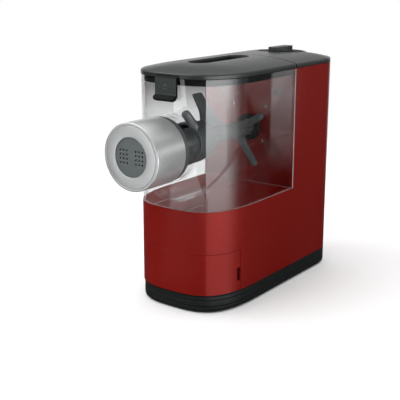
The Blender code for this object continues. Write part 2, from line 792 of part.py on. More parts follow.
def make_drawer():
    floor = BASE_INSIDE + SEAT_GAP
    tray_inset = INNER_INSET + GUIDE_WALL + RUNNING_GAP
    front_inset = max(tray_inset, DRAWER_PANEL_WALL + SEAT_GAP)
    places = pocket_places(front_inset + TRAY_WALL)
    tray_end = places[-1][1] + POCKET_BORE + POCKET_MARGIN + TRAY_WALL
    guide_end = tray_end + GUIDE_STOP
    guide_top = DRAWER_SEAM + GUIDE_WALL + SEAT_GAP
    guide = extruded("drawer_guide", [drawer_outline(INNER_INSET, guide_end)], BASE_TOP + SEAT_GAP,
                     guide_top, CHARCOAL)
    guide_inside = extruded("guide_inside",
                            [drawer_outline(INNER_INSET + GUIDE_WALL, guide_end - GUIDE_WALL)],
                            floor - CUT_OVERRUN, DRAWER_SEAM + SEAT_GAP)
    side = HALF_WIDTH + CUT_OVERRUN
    guide_mouth = block("guide_mouth", (-side, side),
                        (FRONT_Y - CUT_OVERRUN, depth(DRAWER_PANEL_END + RUNNING_GAP)),
                        (floor - CUT_OVERRUN, DRAWER_SEAM + SEAT_GAP))
    cut(guide, guide_inside, guide_mouth)

    low = BASE_TOP + SEAT_GAP
    panel_end = short_outline(0.0, DRAWER_PANEL_END)
    panel = extruded("drawer_front", [panel_end], low, DRAWER_SEAM - SEAT_GAP, RED)
    panel_inside = extruded("panel_inside", [short_outline(DRAWER_PANEL_WALL, DRAWER_PANEL_END
                                                           + CUT_OVERRUN)],
                            low - CUT_OVERRUN, DRAWER_SEAM + CUT_OVERRUN)
    finger_slots = block("finger_slots", (-side, side),
                         (depth(DRAWER_PANEL_END - DRAWER_SLOT_DEPTH), depth(DRAWER_PANEL_END)
                          + CUT_OVERRUN), (DRAWER_SLOT_LOW, DRAWER_SLOT_HIGH))
    cut(panel, panel_inside, finger_slots)

    tray_low = BASE_TOP + RUNNING_GAP
    tray = extruded("drawer_tray", [drawer_outline(front_inset, tray_end)], tray_low, TRAY_TOP,
                    CHARCOAL)
    tray_inside = extruded("tray_inside", [drawer_outline(front_inset + TRAY_WALL,
                                                          tray_end - TRAY_WALL)],
                           tray_low + TRAY_FLOOR, TRAY_TOP + CUT_OVERRUN)
    cut(tray, tray_inside)
    pocket_low = tray_low + TRAY_FLOOR - SEAT_GAP
    stack_low = tray_low + TRAY_FLOOR + SEAT_GAP
    for index, (across, along) in enumerate(places):
        centre = (across, depth(along))
        ring = extruded(f"pocket_{index}", [circle(centre, POCKET_BORE + POCKET_WALL, 24),
                                            circle(centre, POCKET_BORE, 24)],
                        pocket_low, pocket_low + POCKET_HEIGHT)
        join(tray, ring)
    left, right = (Matrix.Translation((across, depth(along), stack_low))
                   for across, along in places)
    flip = Matrix.Rotation(pi, 4, "X")
    lasagne = make_lasagne_disc(right @ flip)
    penne = make_penne_disc(left @ flip)
    carrier = assembly("drawer", (0, depth(DRAWER_PANEL_END), BASE_TOP))
    carry(carrier, panel, tray, lasagne, penne)


# Extruder


def make_ring():
    front = -RING_REACH
    back = front + RING_LENGTH
    lip_back = front + RING_LIP
    opening = DISC_BOSS_RADIUS + SEAT_GAP
    profile = [(opening, front), (RING_RADIUS - RING_EDGE, front), (RING_RADIUS, front + RING_EDGE),
               (RING_RADIUS, back), (RING_BORE_RADIUS, back), (RING_BORE_RADIUS, lip_back),
               (opening, lip_back)]
    ring = turned("fixing_ring", profile, SILVER, 56, across_y(), closed=True)
    carry(assembly("ring", (0, depth(front), AXIS_HEIGHT)), ring)


def make_tube():
    disc_back = -RING_REACH + RING_LIP + SEAT_GAP + DISC_FLANGE
    head = disc_back + SEAT_GAP
    collar_front = -RING_REACH + RING_LENGTH + SEAT_GAP
    collar_back = collar_front + COLLAR_LENGTH
    profile = [(TUBE_BORE_RADIUS, head), (TUBE_HEAD_RADIUS, head), (TUBE_HEAD_RADIUS, collar_front),
               (COLLAR_RADIUS, collar_front), (COLLAR_RADIUS, collar_back),
               (TUBE_RADIUS, collar_back), (TUBE_RADIUS, TUBE_END), (TUBE_BORE_RADIUS, TUBE_END)]
    tube = turned("extrusion_tube", profile, CHARCOAL, 40, across_y(), closed=True)
    reach = TUBE_RADIUS + CUT_OVERRUN
    half = INLET_WIDTH / 2
    inlet = block("tube_inlets", (-half, half),
                  (depth(INLET_START), depth(TUBE_END) + CUT_OVERRUN),
                  (AXIS_HEIGHT, AXIS_HEIGHT + reach))
    cut(tube, inlet)
    disc_place = across_y() @ Matrix.Translation((0, 0, disc_back))
    make_spaghetti_disc(disc_place)
    return tube


def make_auger():
    """The screw that drives the dough forward, with a plain tail inside the paddle."""
    disc_back = -RING_REACH + RING_LIP + SEAT_GAP + DISC_FLANGE
    tip = disc_back + RUNNING_GAP
    shoulder = BELL_SHOULDER - BELL_WALL - SEAT_GAP
    bore_side = AUGER_TAIL_RADIUS
    profile = [(0.0, tip), (AUGER_TIP_RADIUS, tip), (AUGER_CORE_RADIUS, tip + AUGER_PITCH / 2),
               (AUGER_CORE_RADIUS, BELL_FRONT), (bore_side, BELL_FRONT), (bore_side, AUGER_END),
               (0.0, AUGER_END)]
    core = turned("auger_screw", profile, STEEL, 24, across_y())
    start = tip + AUGER_FLIGHT_THICKNESS
    length = min(AUGER_FLIGHT_END, shoulder) - start
    count = int(length / AUGER_PITCH * AUGER_STEPS)
    inner = (AUGER_TIP_RADIUS + AUGER_CORE_RADIUS) / 2
    rings = []
    for step in range(count + 1):
        angle = tau * step / AUGER_STEPS
        along = depth(start + AUGER_PITCH * step / AUGER_STEPS)
        half = AUGER_FLIGHT_THICKNESS / 2
        rings.append([(radius * cos(angle), along + side * half, AXIS_HEIGHT + radius * sin(angle))
                      for radius, side in ((inner, -1), (AUGER_RADIUS, -1), (AUGER_RADIUS, 1),
                                           (inner, 1))])
    flight = loft("auger_flight", rings)
    return join(core, flight)


def polar(angle, radius, along):
    """A point round the drive axis."""
    return Vector((radius * cos(radians(angle)), depth(along),
                   AXIS_HEIGHT + radius * sin(radians(angle))))


def limb(name, root, tip, root_size, tip_size):
    """A tapered arm with a rounded end between two points, wide along the depth."""
    direction = (tip - root).normalized()
    wide = Vector((0, 1, 0)) - direction * direction.y
    wide.normalize()
    thick = direction.cross(wide)
    rings = []
    for share, scale in LIMB_SHARES:
        centre = root.lerp(tip, share)
        half_width = (root_size[0] + (tip_size[0] - root_size[0]) * share) * scale
        half_thickness = (root_size[1] + (tip_size[1] - root_size[1]) * share) * scale
        rings.append([centre + wide * half_width * cos(tau * k / LIMB_SIDES)
                      + thick * half_thickness * sin(tau * k / LIMB_SIDES)
                      for k in range(LIMB_SIDES)])
    return loft(name, rings)


def make_paddle():
    """The mixing paddle: bell, shaft, fin, scraper and two limbs, in one moulding."""
    bore = AUGER_TAIL_RADIUS + SEAT_GAP
    shoulder_inside = BELL_SHOULDER - BELL_WALL
    bell_inside = BELL_SHOULDER_RADIUS - BELL_WALL
    boss_front = BELL_FRONT + BELL_WALL
    profile = [(bore, boss_front), (BOSS_RADIUS, boss_front), (BOSS_RADIUS, shoulder_inside),
               (bell_inside, shoulder_inside), (BELL_RADIUS - BELL_WALL, BELL_FRONT),
               (BELL_RADIUS, BELL_FRONT), (BELL_RADIUS, (BELL_FRONT + BELL_SHOULDER) / 2),
               (BELL_SHOULDER_RADIUS, BELL_SHOULDER),
               ((BELL_SHOULDER_RADIUS * 2 + SHAFT_RADIUS) / 3, (BELL_SHOULDER + BELL_BACK) / 2),
               (SHAFT_RADIUS, BELL_BACK), (SHAFT_RADIUS, SHAFT_END), (0.0, SHAFT_END),
               (0.0, AUGER_END + SEAT_GAP), (bore, AUGER_END + SEAT_GAP)]
    paddle = turned("mixing_paddle", profile, GREY, 32, across_y(), closed=True)
    half = FIN_THICKNESS / 2
    fin = extruded("paddle_fin", [[(depth(along), AXIS_HEIGHT + up) for along, up in FIN_SHAPE]],
                   -half, half, None, "X")
    edge = fin.modifiers.new("edge", "BEVEL")
    edge.width = FIN_ROUND
    edge.segments = 1
    edge.limit_method = "ANGLE"
    edge.angle_limit = radians(50)
    pieces = [fin]
    for name, (angle, root, root_depth, tip, tip_depth) in (("limb_right", LIMB_RIGHT),
                                                             ("limb_lower", LIMB_LOWER)):
        pieces.append(limb(name, polar(angle, root, root_depth),
                           polar(angle, TROUGH_RADIUS - tip, tip_depth), LIMB_ROOT_SIZE, LIMB_TIP_SIZE))
    pieces.append(limb("scraper", polar(*SCRAPER_ROOT), polar(*SCRAPER_TIP), SCRAPER_SIZE,
                       SCRAPER_SIZE))
    join(paddle, *pieces)
    socket = extruded("dog_socket", [circle((0, AXIS_HEIGHT), DOG_RADIUS + SEAT_GAP, 6)],
                      depth(SHAFT_END - SOCKET_DEPTH), depth(SHAFT_END) + CUT_OVERRUN, None, "Y")
    cut(paddle, socket)
    return paddle


def make_mixer():
    auger = make_auger()
    paddle = make_paddle()
    carry(assembly("mixer", (0, depth(SHAFT_END), AXIS_HEIGHT)), auger, paddle)


# Chamber and lid


def trough_outline():
    """Section of the mixing trough, in XZ, with ledges that meet the side walls."""
    inner = TROUGH_RADIUS - CHAMBER_WALL
    reach = HALF_WIDTH + CUT_OVERRUN
    under = AXIS_HEIGHT - CHAMBER_WALL
    inside = arc((0, AXIS_HEIGHT), inner, 180, 360, 25)
    low_angle = degrees(asin(CHAMBER_WALL / TROUGH_RADIUS))
    outside = arc((0, AXIS_HEIGHT), TROUGH_RADIUS, 360 - low_angle, 180 + low_angle, 25)
    return (inside + [(reach, AXIS_HEIGHT), (reach, under)] + outside
            + [(-reach, under), (-reach, AXIS_HEIGHT)])


def make_chamber():
    """The clear mixing chamber: outer wall, rear wall, trough, neck and ribs."""
    low = DECK_TOP + SEAT_GAP
    top = RIM_HEIGHT - SEAT_GAP
    chamber = extruded("mixing_chamber", [arch_outline(SEAT_GAP, CHAMBER_BACK)], low, top, CLEAR)
    inside = extruded("chamber_inside", [arch_outline(CHAMBER_INNER, CHAMBER_BACK - CHAMBER_WALL)],
                      low - CUT_OVERRUN, top + CUT_OVERRUN)
    cut(chamber, inside)
    middle_inset = SEAT_GAP + CHAMBER_WALL / 2
    back = CHAMBER_BACK - CHAMBER_WALL / 2
    limit = extruded("chamber_limit", [arch_outline(middle_inset, back)], low + CHAMBER_WALL,
                     AXIS_HEIGHT + CHAMBER_WALL)
    trough = extruded("trough", [trough_outline()], FRONT_Y - CUT_OVERRUN, depth(back) + CUT_OVERRUN,
                      None, "Y")
    trim(trough, limit)
    join(chamber, trough)
    rib_top = AXIS_HEIGHT - sqrt(TROUGH_RADIUS ** 2 - RIB_SPREAD ** 2) + CHAMBER_WALL / 2
    for side in (-1, 1):
        x = side * RIB_SPREAD
        rib = block(f"chamber_rib_{side}", (x - RIB_THICKNESS / 2, x + RIB_THICKNESS / 2),
                    (depth(CHAMBER_WALL), depth(RIB_END)), (low + SEAT_GAP, rib_top))
        join(chamber, rib)
    join(chamber, drum("neck", NECK_RADIUS, NECK_FRONT, NECK_DEPTH, None, 48, across_y()))
    bore = TUBE_RADIUS + RUNNING_GAP
    cut(chamber, drum("neck_bore", bore, NECK_FRONT - CUT_OVERRUN, NECK_DEPTH + CUT_OVERRUN, None,
                      40, across_y()))
    relief = [(bore + CHAMBER_WALL, NECK_FRONT - CUT_OVERRUN),
              (NECK_RADIUS - CHAMBER_WALL, NECK_FRONT - CUT_OVERRUN),
              (NECK_RADIUS - CHAMBER_WALL, NECK_DEPTH - CHAMBER_WALL),
              (bore + CHAMBER_WALL, NECK_DEPTH - CHAMBER_WALL)]
    cut(chamber, turned("neck_relief", relief, None, 48, across_y(), closed=True))
    cut(chamber, drum("seal_opening", SEAL_HOLE_RADIUS, CHAMBER_BACK - CHAMBER_WALL - CUT_OVERRUN,
                      CHAMBER_BACK + CUT_OVERRUN, None, 36, across_y()))
    return chamber


def make_lid():
    def outer(inset):
        return arch_outline(inset, LID_BACK)

    def inner(inset):
        return arch_outline(inset, LID_BACK - LID_WALL)

    lid = domed_shell("lid", outer, inner, CHARCOAL)
    cut(lid, extruded("pour_opening", [stadium(POUR_HALF_WIDTH, POUR_FRONT, POUR_BACK, 8)],
                      RIM_HEIGHT, RIM_TOP + CROWN_RISE + CUT_OVERRUN))
    half = LATCH_HALF_WIDTH + SEAT_GAP
    recess_top = RIM_HEIGHT + LATCH_RECESS_HEIGHT
    cut(lid, block("latch_recess", (-half, half),
                   (FRONT_Y - CUT_OVERRUN, depth(LATCH_RECESS_DEPTH)),
                   (RIM_HEIGHT - CUT_OVERRUN, recess_top)))

    gasket_back = LID_BACK - LID_WALL - SEAT_GAP
    gasket_top = crown(LID_WALL) - CROWN_SHELL - SEAT_GAP
    gasket = extruded("lid_gasket", [arch_outline(GASKET_INSET, gasket_back),
                                     arch_outline(GASKET_INSET + GASKET_WALL,
                                                  gasket_back - GASKET_WALL)],
                      GASKET_BOTTOM, gasket_top, BLACK)

    edge = SEAT_GAP
    grate = extruded("pour_insert", [stadium(POUR_HALF_WIDTH - edge, POUR_FRONT + edge,
                                             POUR_BACK - edge, 8)],
                     POUR_FLOOR_HEIGHT, POUR_RIM_HEIGHT, BLACK)
    inside = edge + POUR_WALL
    well = extruded("pour_well", [stadium(POUR_HALF_WIDTH - inside, POUR_FRONT + inside,
                                          POUR_BACK - inside, 8)],
                    POUR_FLOOR_HEIGHT + POUR_FLOOR, POUR_RIM_HEIGHT + CUT_OVERRUN)
    slot = extruded("pour_slot", [stadium(POUR_SLOT_HALF_WIDTH, POUR_FRONT + POUR_SLOT_END_INSET,
                                          POUR_BACK - POUR_SLOT_END_INSET, 4)],
                    POUR_FLOOR_HEIGHT - CUT_OVERRUN, POUR_RIM_HEIGHT)
    cut(grate, well, slot)
    return lid, gasket, grate


def make_latch():
    """The tab at the lid's front: knuckle, plate and a lip for the finger."""
    axis = (depth(LATCH_AXIS_DEPTH), LATCH_AXIS_HEIGHT)
    knuckle = arc(axis, LATCH_KNUCKLE_RADIUS, -60, 130, 6)
    face = depth(LATCH_FACE)
    back = depth(LATCH_BACK)
    lip = face - LATCH_LIP_REACH
    lip_height = LATCH_LIP_TOP - LATCH_BOTTOM
    outline = knuckle + [
        (face, LATCH_AXIS_HEIGHT - LATCH_KNUCKLE_RADIUS), (face, LATCH_LIP_TOP),
        (lip, LATCH_LIP_TOP - lip_height / 2), (lip, LATCH_BOTTOM + lip_height / 4),
        (lip + LATCH_LIP_REACH / 2, LATCH_BOTTOM), (back, LATCH_BOTTOM),
        (back, LATCH_AXIS_HEIGHT - LATCH_KNUCKLE_RADIUS * 2)]
    latch = extruded("lid_latch", [outline], -LATCH_HALF_WIDTH, LATCH_HALF_WIDTH, BLACK, "X")
    carry(assembly("latch", (0, *axis)), latch)
    return latch


def make_front():
    chamber = make_chamber()
    tube = make_tube()
    lid, gasket, grate = make_lid()
    make_latch()
    carrier = assembly("chamber", (0, depth(CHAMBER_BACK), DECK_TOP))
    carry(carrier, chamber, tube, bpy.data.objects["spaghetti_disc"])
    carry(assembly("lid_carrier", (0, depth(LID_BACK), RIM_HEIGHT)), lid, gasket, grate)


# Rear cover and knob


def make_rear_cover():
    def outer(inset):
        return column_outline(inset, COLUMN_FRONT + SEAT_GAP)

    def inner(inset):
        return column_outline(inset, COLUMN_FRONT + SEAT_GAP + LID_WALL)

    cover = domed_shell("rear_cover", outer, inner, CHARCOAL)
    place = Matrix.Translation((0, depth(DISH_CENTRE), 0))
    boss = drum("dish_boss", DISH_RADIUS + DISH_SHELL, DISH_FLOOR - DISH_SHELL,
                DISH_FLOOR + DISH_SHELL / 3, None, 40, place)
    posts = []
    post_low = BOARD_BOTTOM + BOARD_THICKNESS + SEAT_GAP
    for x in (-BOARD_HALF_WIDTH + POST_INSET, BOARD_HALF_WIDTH - POST_INSET):
        for along in (BOARD_FRONT + POST_INSET, BOARD_BACK - POST_INSET):
            inset = min(HALF_WIDTH - abs(x), BODY_LENGTH - along)
            top = crown(inset) - CROWN_SHELL / 2
            posts.append(drum(f"cover_post_{x:.3f}_{along:.3f}", POST_RADIUS, post_low, top, None, 12,
                              Matrix.Translation((x, depth(along), 0))))
    join(cover, boss, *posts)
    cut(cover, drum("knob_dish", DISH_RADIUS, DISH_FLOOR, RIM_TOP + CROWN_RISE + CUT_OVERRUN, None,
                    40, place))
    return cut(cover, drum("knob_hole", KNOB_SHAFT_RADIUS + RUNNING_GAP,
                           DISH_FLOOR - DISH_SHELL - CUT_OVERRUN, DISH_FLOOR + CUT_OVERRUN, None,
                           20, place))


def make_knob():
    place = Matrix.Translation((0, depth(DISH_CENTRE), 0))
    skirt_low = DISH_FLOOR + SEAT_GAP
    skirt_top = skirt_low + KNOB_SKIRT_HEIGHT
    shaft_low = skirt_low - KNOB_SHAFT_LENGTH
    profile = [(0.0, shaft_low), (KNOB_SHAFT_RADIUS, shaft_low), (KNOB_SHAFT_RADIUS, skirt_low),
               (DISH_RADIUS - RUNNING_GAP, skirt_low), (DISH_RADIUS - RUNNING_GAP, skirt_top),
               (0.0, skirt_top)]
    knob = turned("control_knob", profile, BLACK, 40, place)
    half = KNOB_BAR_WIDTH / 2
    length = KNOB_BAR_LENGTH / 2
    corner = KNOB_BAR_ROUND
    outline = (arc((half - corner, -length + corner), corner, -90, 0, 3)
               + arc((half - corner, length - corner), corner, 0, 90, 3)
               + arc((-half + corner, length - corner), corner, 90, 180, 3)
               + arc((-half + corner, -length + corner), corner, 180, 270, 3))
    bar = extruded("knob_bar", [outline], skirt_low + KNOB_SKIRT_HEIGHT / 2, KNOB_TOP)
    bar.matrix_world = place @ bar.matrix_world
    join(knob, bar)
    for side in (-1, 1):
        for index in range(GRIP_COUNT):
            y = depth(DISH_CENTRE) + length - corner - GRIP_PITCH * (index + 1)
            x = sorted((side * (half - GRIP_DEPTH), side * (half + CUT_OVERRUN)))
            cut(knob, block(f"grip_{side}_{index}", x, (y, y + GRIP_WIDTH),
                            (skirt_top + KNOB_SKIRT_HEIGHT, KNOB_TOP + CUT_OVERRUN)))
    carry(assembly("knob", (0, depth(DISH_CENTRE), skirt_low)), knob)
    return knob


def make_controls():
    """The circuit board under the rear cover, with the rotary switch the knob turns."""
    board_top = BOARD_BOTTOM + BOARD_THICKNESS
    block("circuit_board", (-BOARD_HALF_WIDTH, BOARD_HALF_WIDTH),
          (depth(BOARD_FRONT), depth(BOARD_BACK)), (BOARD_BOTTOM, board_top), BOARD_GREEN)
    low = board_top + SEAT_GAP
    half = SWITCH_BODY_SIDE / 2
    middle = depth(DISH_CENTRE)
    switch = block("mode_switch", (-half, half), (middle - half, middle + half),
                   (low, low + SWITCH_BODY_HEIGHT), BLACK)
    shaft_low = DISH_FLOOR + SEAT_GAP - KNOB_SHAFT_LENGTH
    place = Matrix.Translation((0, middle, 0))
    cut(switch, drum("switch_bore", KNOB_SHAFT_RADIUS + RUNNING_GAP, shaft_low - SEAT_GAP,
                     low + SWITCH_BODY_HEIGHT + CUT_OVERRUN, None, 20, place))
    front = depth(BOARD_FRONT)
    block("relay", (half + POST_INSET, half + POST_INSET * 2 + POST_RADIUS),
          (middle - half, middle + half), (low, low + SWITCH_BODY_HEIGHT), CHARCOAL)
    capacitor = Matrix.Translation((-half - POST_INSET * 2, middle, 0))
    drum("capacitor", POST_INSET, low, low + SWITCH_BODY_HEIGHT, SILVER, 20, capacitor)
    block("cable_connector", (-half, half), (front + POST_INSET, front + POST_INSET * 2),
          (low, low + POST_INSET), NYLON)
    wall = GEAR_BOX_FRONT
    across, up = SWITCH_HOLE_PLACE
    for name, side in (("left", -1), ("right", 1)):
        x = sorted((side * (across - SWITCH_HOLE_RADIUS * 2), side * (KEY_HOLE_PLACE[0]
                                                                     + SWITCH_HOLE_RADIUS)))
        block(f"safety_switch_{name}", x, (depth(wall), depth(wall + POST_INSET)),
              (AXIS_HEIGHT + up - POST_INSET, AXIS_HEIGHT + up + POST_INSET), BLACK)


# Drive


def gear_outline(teeth, module, centre, start):
    """A gear's outline in XZ. A tooth's middle lies at the start angle, in degrees."""
    pitch = teeth * module / 2
    tip = pitch + module * TOOTH_SHARES[0]
    root = pitch - module * TOOTH_SHARES[1]
    points = []
    for tooth in range(teeth):
        middle = radians(start) + tau * tooth / teeth
        step = tau / teeth
        for radius, offset in ((root, -FLANK_SHARES[0]), (tip, -FLANK_SHARES[1]),
                               (tip, FLANK_SHARES[1]), (root, FLANK_SHARES[0])):
            angle = middle + step * offset
            points.append((centre[0] + radius * cos(angle), centre[1] + radius * sin(angle)))
    return points


def make_gear_pair(name, height, wheel, pinion, wheel_front, pinion_front, carrier_name):
    """A wheel and a smaller pinion in one moulding, on a plain axle.

    The wheel meshes below and the pinion above, so one has a gap there and the other a tooth.
    """
    centre = (0, height)
    gap_down = 270 + 180 / wheel[0]
    gear = extruded(name, [gear_outline(*wheel, centre, gap_down)], depth(wheel_front),
                    depth(wheel_front + GEAR_WIDTH), NYLON, "Y")
    small = extruded(name + "_pinion", [gear_outline(*pinion, centre, 90)], depth(pinion_front),
                     depth(wheel_front + GEAR_WIDTH / 2), None, "Y")
    join(gear, small)
    bore = drum(name + "_bore", AXLE_RADIUS + SEAT_GAP, pinion_front - CUT_OVERRUN,
                wheel_front + GEAR_WIDTH + CUT_OVERRUN, None, 12, across_y(0, height))
    cut(gear, bore)
    carry(assembly(carrier_name, (0, depth(wheel_front), height)), gear)
    return gear


def make_gears():
    (motor_teeth, lower_teeth, lower_module) = STAGES[0]
    (small_teeth, upper_teeth, upper_module) = STAGES[1]
    (last_teeth, drive_teeth, drive_module) = STAGES[2]
    lower_front, upper_front, drive_front = STAGE_FRONTS
    make_gear_pair("lower_idler_gear", LOWER_IDLER_HEIGHT, (lower_teeth, lower_module),
                   (small_teeth, upper_module), lower_front, upper_front, "lower_idler")
    make_gear_pair("upper_idler_gear", UPPER_IDLER_HEIGHT, (upper_teeth, upper_module),
                   (last_teeth, drive_module), upper_front, drive_front, "upper_idler")
    centre = (0, AXIS_HEIGHT)
    drive = extruded("drive_gear", [gear_outline(drive_teeth, drive_module, centre,
                                                 270 + 180 / drive_teeth),
                                    circle(centre, DRIVE_SHAFT_RADIUS + SEAT_GAP, 24)],
                     depth(drive_front), depth(drive_front + GEAR_WIDTH), NYLON, "Y")
    shaft_front = COUPLING_FRONT + GEAR_SPACE
    shaft_back = REAR_PLATE_FRONT + PLATE_THICKNESS + GEAR_SPACE
    shaft = drum("drive_shaft", DRIVE_SHAFT_RADIUS, shaft_front, shaft_back, STEEL, 24, across_y())
    seal_back = SEAL_FRONT + SEAL_WIDTH
    flange = drum("coupling_flange", COUPLING_RADIUS, COUPLING_FRONT, seal_back, None, 24,
                  across_y())
    dog_front = COUPLING_FRONT - DOG_LENGTH
    coupling = extruded("drive_coupling", [circle((0, AXIS_HEIGHT), DOG_RADIUS, 6)],
                        depth(dog_front), depth(COUPLING_FRONT) + CUT_OVERRUN / 4, GREY, "Y")
    join(coupling, flange)
    cut(coupling, drum("coupling_bore", DRIVE_SHAFT_RADIUS + SEAT_GAP, shaft_front - SEAT_GAP,
                       seal_back + CUT_OVERRUN, None, 24, across_y()))
    carry(assembly("drive", (0, depth(drive_front), AXIS_HEIGHT)), drive, shaft, coupling)

    motor_centre = (0, MOTOR_HEIGHT)
    pinion = extruded("motor_pinion", [gear_outline(motor_teeth, lower_module, motor_centre, 90),
                                       circle(motor_centre, ROTOR_RADIUS + SEAT_GAP, 16)],
                      depth(lower_front), depth(lower_front + GEAR_WIDTH), STEEL, "Y")
    return pinion


def bearing(name, radius, bore, front, width):
    profile = [(bore + SEAT_GAP, front), (radius, front), (radius, front + width),
               (bore + SEAT_GAP, front + width)]
    return turned(name, profile, STEEL, 20, across_y(), closed=True)


def make_gearbox():
    """Two plates with posts between them, their axles and the drive shaft's bearings."""
    outline = rounded_panel(PLATE_HALF_WIDTH, PLATE_BOTTOM, PLATE_TOP, PLATE_ROUND)
    heights = (LOWER_IDLER_HEIGHT, UPPER_IDLER_HEIGHT)
    axle_holes = [circle((0, height), AXLE_RADIUS + SEAT_GAP, 12) for height in heights]
    front_hole = circle((0, AXIS_HEIGHT), FRONT_BEARING_RADIUS + SEAT_GAP, 20)
    back = GEAR_BOX_FRONT + PLATE_THICKNESS
    plate = extruded("gearbox_front_plate", [outline, front_hole, *axle_holes],
                     depth(GEAR_BOX_FRONT), depth(back), CHARCOAL, "Y")
    x = PLATE_HALF_WIDTH - PLATE_POST_INSET
    for side in (-x, x):
        for height in (PLATE_BOTTOM + PLATE_POST_INSET, PLATE_TOP - PLATE_POST_INSET):
            post = drum(f"plate_post_{side:.3f}_{height:.3f}", PLATE_POST_RADIUS,
                        back - PLATE_THICKNESS / 2, REAR_PLATE_FRONT - SEAT_GAP, None, 12,
                        across_y(side, height))
            join(plate, post)
    head = COLUMN_FRONT + COLUMN_WALL - PLATE_SCREW_HEAD
    radius = PLATE_SCREW_RADIUS - SEAT_GAP
    profile = [(0.0, head), (radius, head), (radius, head + PLATE_SCREW_HEAD),
               (PLATE_SCREW_SHANK, head + PLATE_SCREW_HEAD), (PLATE_SCREW_SHANK, back), (0.0, back)]
    for level, (x, up) in zip(("upper", "lower"), PLATE_SCREW_PLACES):
        for side, sign in (("left", -1), ("right", 1)):
            place = across_y(sign * x, AXIS_HEIGHT + up)
            turned(f"plate_screw_{level}_{side}", profile, STEEL, 10, place)
            cut(plate, drum(f"plate_screw_hole_{level}_{side}", PLATE_SCREW_SHANK + SEAT_GAP,
                            GEAR_BOX_FRONT - CUT_OVERRUN, back + CUT_OVERRUN, None, 10, place))
    rear_hole = circle((0, AXIS_HEIGHT), REAR_BEARING_RADIUS + SEAT_GAP, 20)
    nose_hole = circle((0, MOTOR_HEIGHT), MOTOR_NOSE_RADIUS + SEAT_GAP, 24)
    extruded("gearbox_rear_plate", [outline, rear_hole, nose_hole, *axle_holes],
             depth(REAR_PLATE_FRONT), depth(REAR_PLATE_FRONT + PLATE_THICKNESS), CHARCOAL, "Y")
    for name, height in zip(("lower_idler_axle", "upper_idler_axle"), heights):
        drum(name, AXLE_RADIUS, GEAR_BOX_FRONT + SEAT_GAP, REAR_PLATE_FRONT + PLATE_THICKNESS
             - SEAT_GAP, STEEL, 12, across_y(0, height))
    middle = GEAR_BOX_FRONT + PLATE_THICKNESS + GEAR_SPACE / 2
    bearing("front_bearing", FRONT_BEARING_RADIUS, DRIVE_SHAFT_RADIUS, middle - BEARING_WIDTH,
            BEARING_WIDTH)
    bearing("rear_bearing", REAR_BEARING_RADIUS, DRIVE_SHAFT_RADIUS, REAR_PLATE_FRONT - GEAR_SPACE / 2,
            PLATE_THICKNESS + GEAR_SPACE)
    profile = [(COUPLING_RADIUS + RUNNING_GAP, SEAL_FRONT), (SEAL_RADIUS, SEAL_FRONT),
               (SEAL_RADIUS, SEAL_FRONT + SEAL_WIDTH),
               (COUPLING_RADIUS + RUNNING_GAP, SEAL_FRONT + SEAL_WIDTH)]
    turned("shaft_seal", profile, RUBBER, 28, across_y(), closed=True)


def make_motor(pinion):
    place = across_y(0, MOTOR_HEIGHT)
    bore = ROTOR_RADIUS + RUNNING_GAP
    nose = MOTOR_FRONT - MOTOR_NOSE_LENGTH + GEAR_SPACE
    profile = [(bore, nose), (MOTOR_NOSE_RADIUS, nose), (MOTOR_NOSE_RADIUS, MOTOR_FRONT),
               (MOTOR_RADIUS - MOTOR_EDGE, MOTOR_FRONT), (MOTOR_RADIUS, MOTOR_FRONT + MOTOR_EDGE),
               (MOTOR_RADIUS, MOTOR_BACK - MOTOR_EDGE), (MOTOR_RADIUS - MOTOR_EDGE, MOTOR_BACK),
               (bore, MOTOR_BACK)]
    turned("motor", profile, STEEL, 32, place, closed=True)
    fan_front = MOTOR_BACK + GEAR_SPACE
    fan_back = fan_front + FAN_WIDTH
    rotor = drum("motor_shaft", ROTOR_RADIUS, STAGE_FRONTS[0], fan_back, STEEL, 16, place)
    hub = [(ROTOR_RADIUS + SEAT_GAP, fan_front), (FAN_HUB_RADIUS, fan_front),
           (FAN_HUB_RADIUS, fan_back), (ROTOR_RADIUS + SEAT_GAP, fan_back)]
    fan = turned("cooling_fan", hub, BLACK, 20, place, closed=True)
    half = FAN_BLADE_THICKNESS / 2
    for index in range(FAN_BLADES):
        angle = tau * index / FAN_BLADES
        corners = [(FAN_HUB_RADIUS - FAN_BLADE_THICKNESS, -half), (FAN_RADIUS, -half),
                   (FAN_RADIUS, half), (FAN_HUB_RADIUS - FAN_BLADE_THICKNESS, half)]
        outline = [(x * cos(angle) - y * sin(angle), MOTOR_HEIGHT + x * sin(angle) + y * cos(angle))
                   for x, y in corners]
        join(fan, extruded(f"fan_blade_{index}", [outline], depth(fan_front),
                           depth(fan_back - FAN_BLADE_THICKNESS), None, "Y"))
    carry(assembly("rotor", (0, depth(MOTOR_BACK), MOTOR_HEIGHT)), pinion, rotor, fan)
    low = BASE_INSIDE + SEAT_GAP
    reach = MOTOR_RADIUS + SEAT_GAP
    edge = CRADLE_HALF_WIDTH
    spread = degrees(asin(edge / reach))
    saddle_arc = arc((0, MOTOR_HEIGHT), reach, 270 + spread, 270 - spread, 10)
    foot = low + CRADLE_THICKNESS
    cradle = block("motor_cradle", (-edge, edge), (depth(MOTOR_FRONT + CRADLE_INSET),
                                                   depth(MOTOR_BACK - CRADLE_INSET)),
                   (low, foot), CHARCOAL)
    for name, along in (("front", MOTOR_FRONT + CRADLE_INSET),
                        ("rear", MOTOR_BACK - CRADLE_INSET - CRADLE_THICKNESS)):
        outline = [(-edge, foot - CRADLE_THICKNESS / 2), (edge, foot - CRADLE_THICKNESS / 2)]
        outline += saddle_arc
        join(cradle, extruded(f"saddle_{name}", [outline], depth(along),
                              depth(along + CRADLE_THICKNESS), None, "Y"))


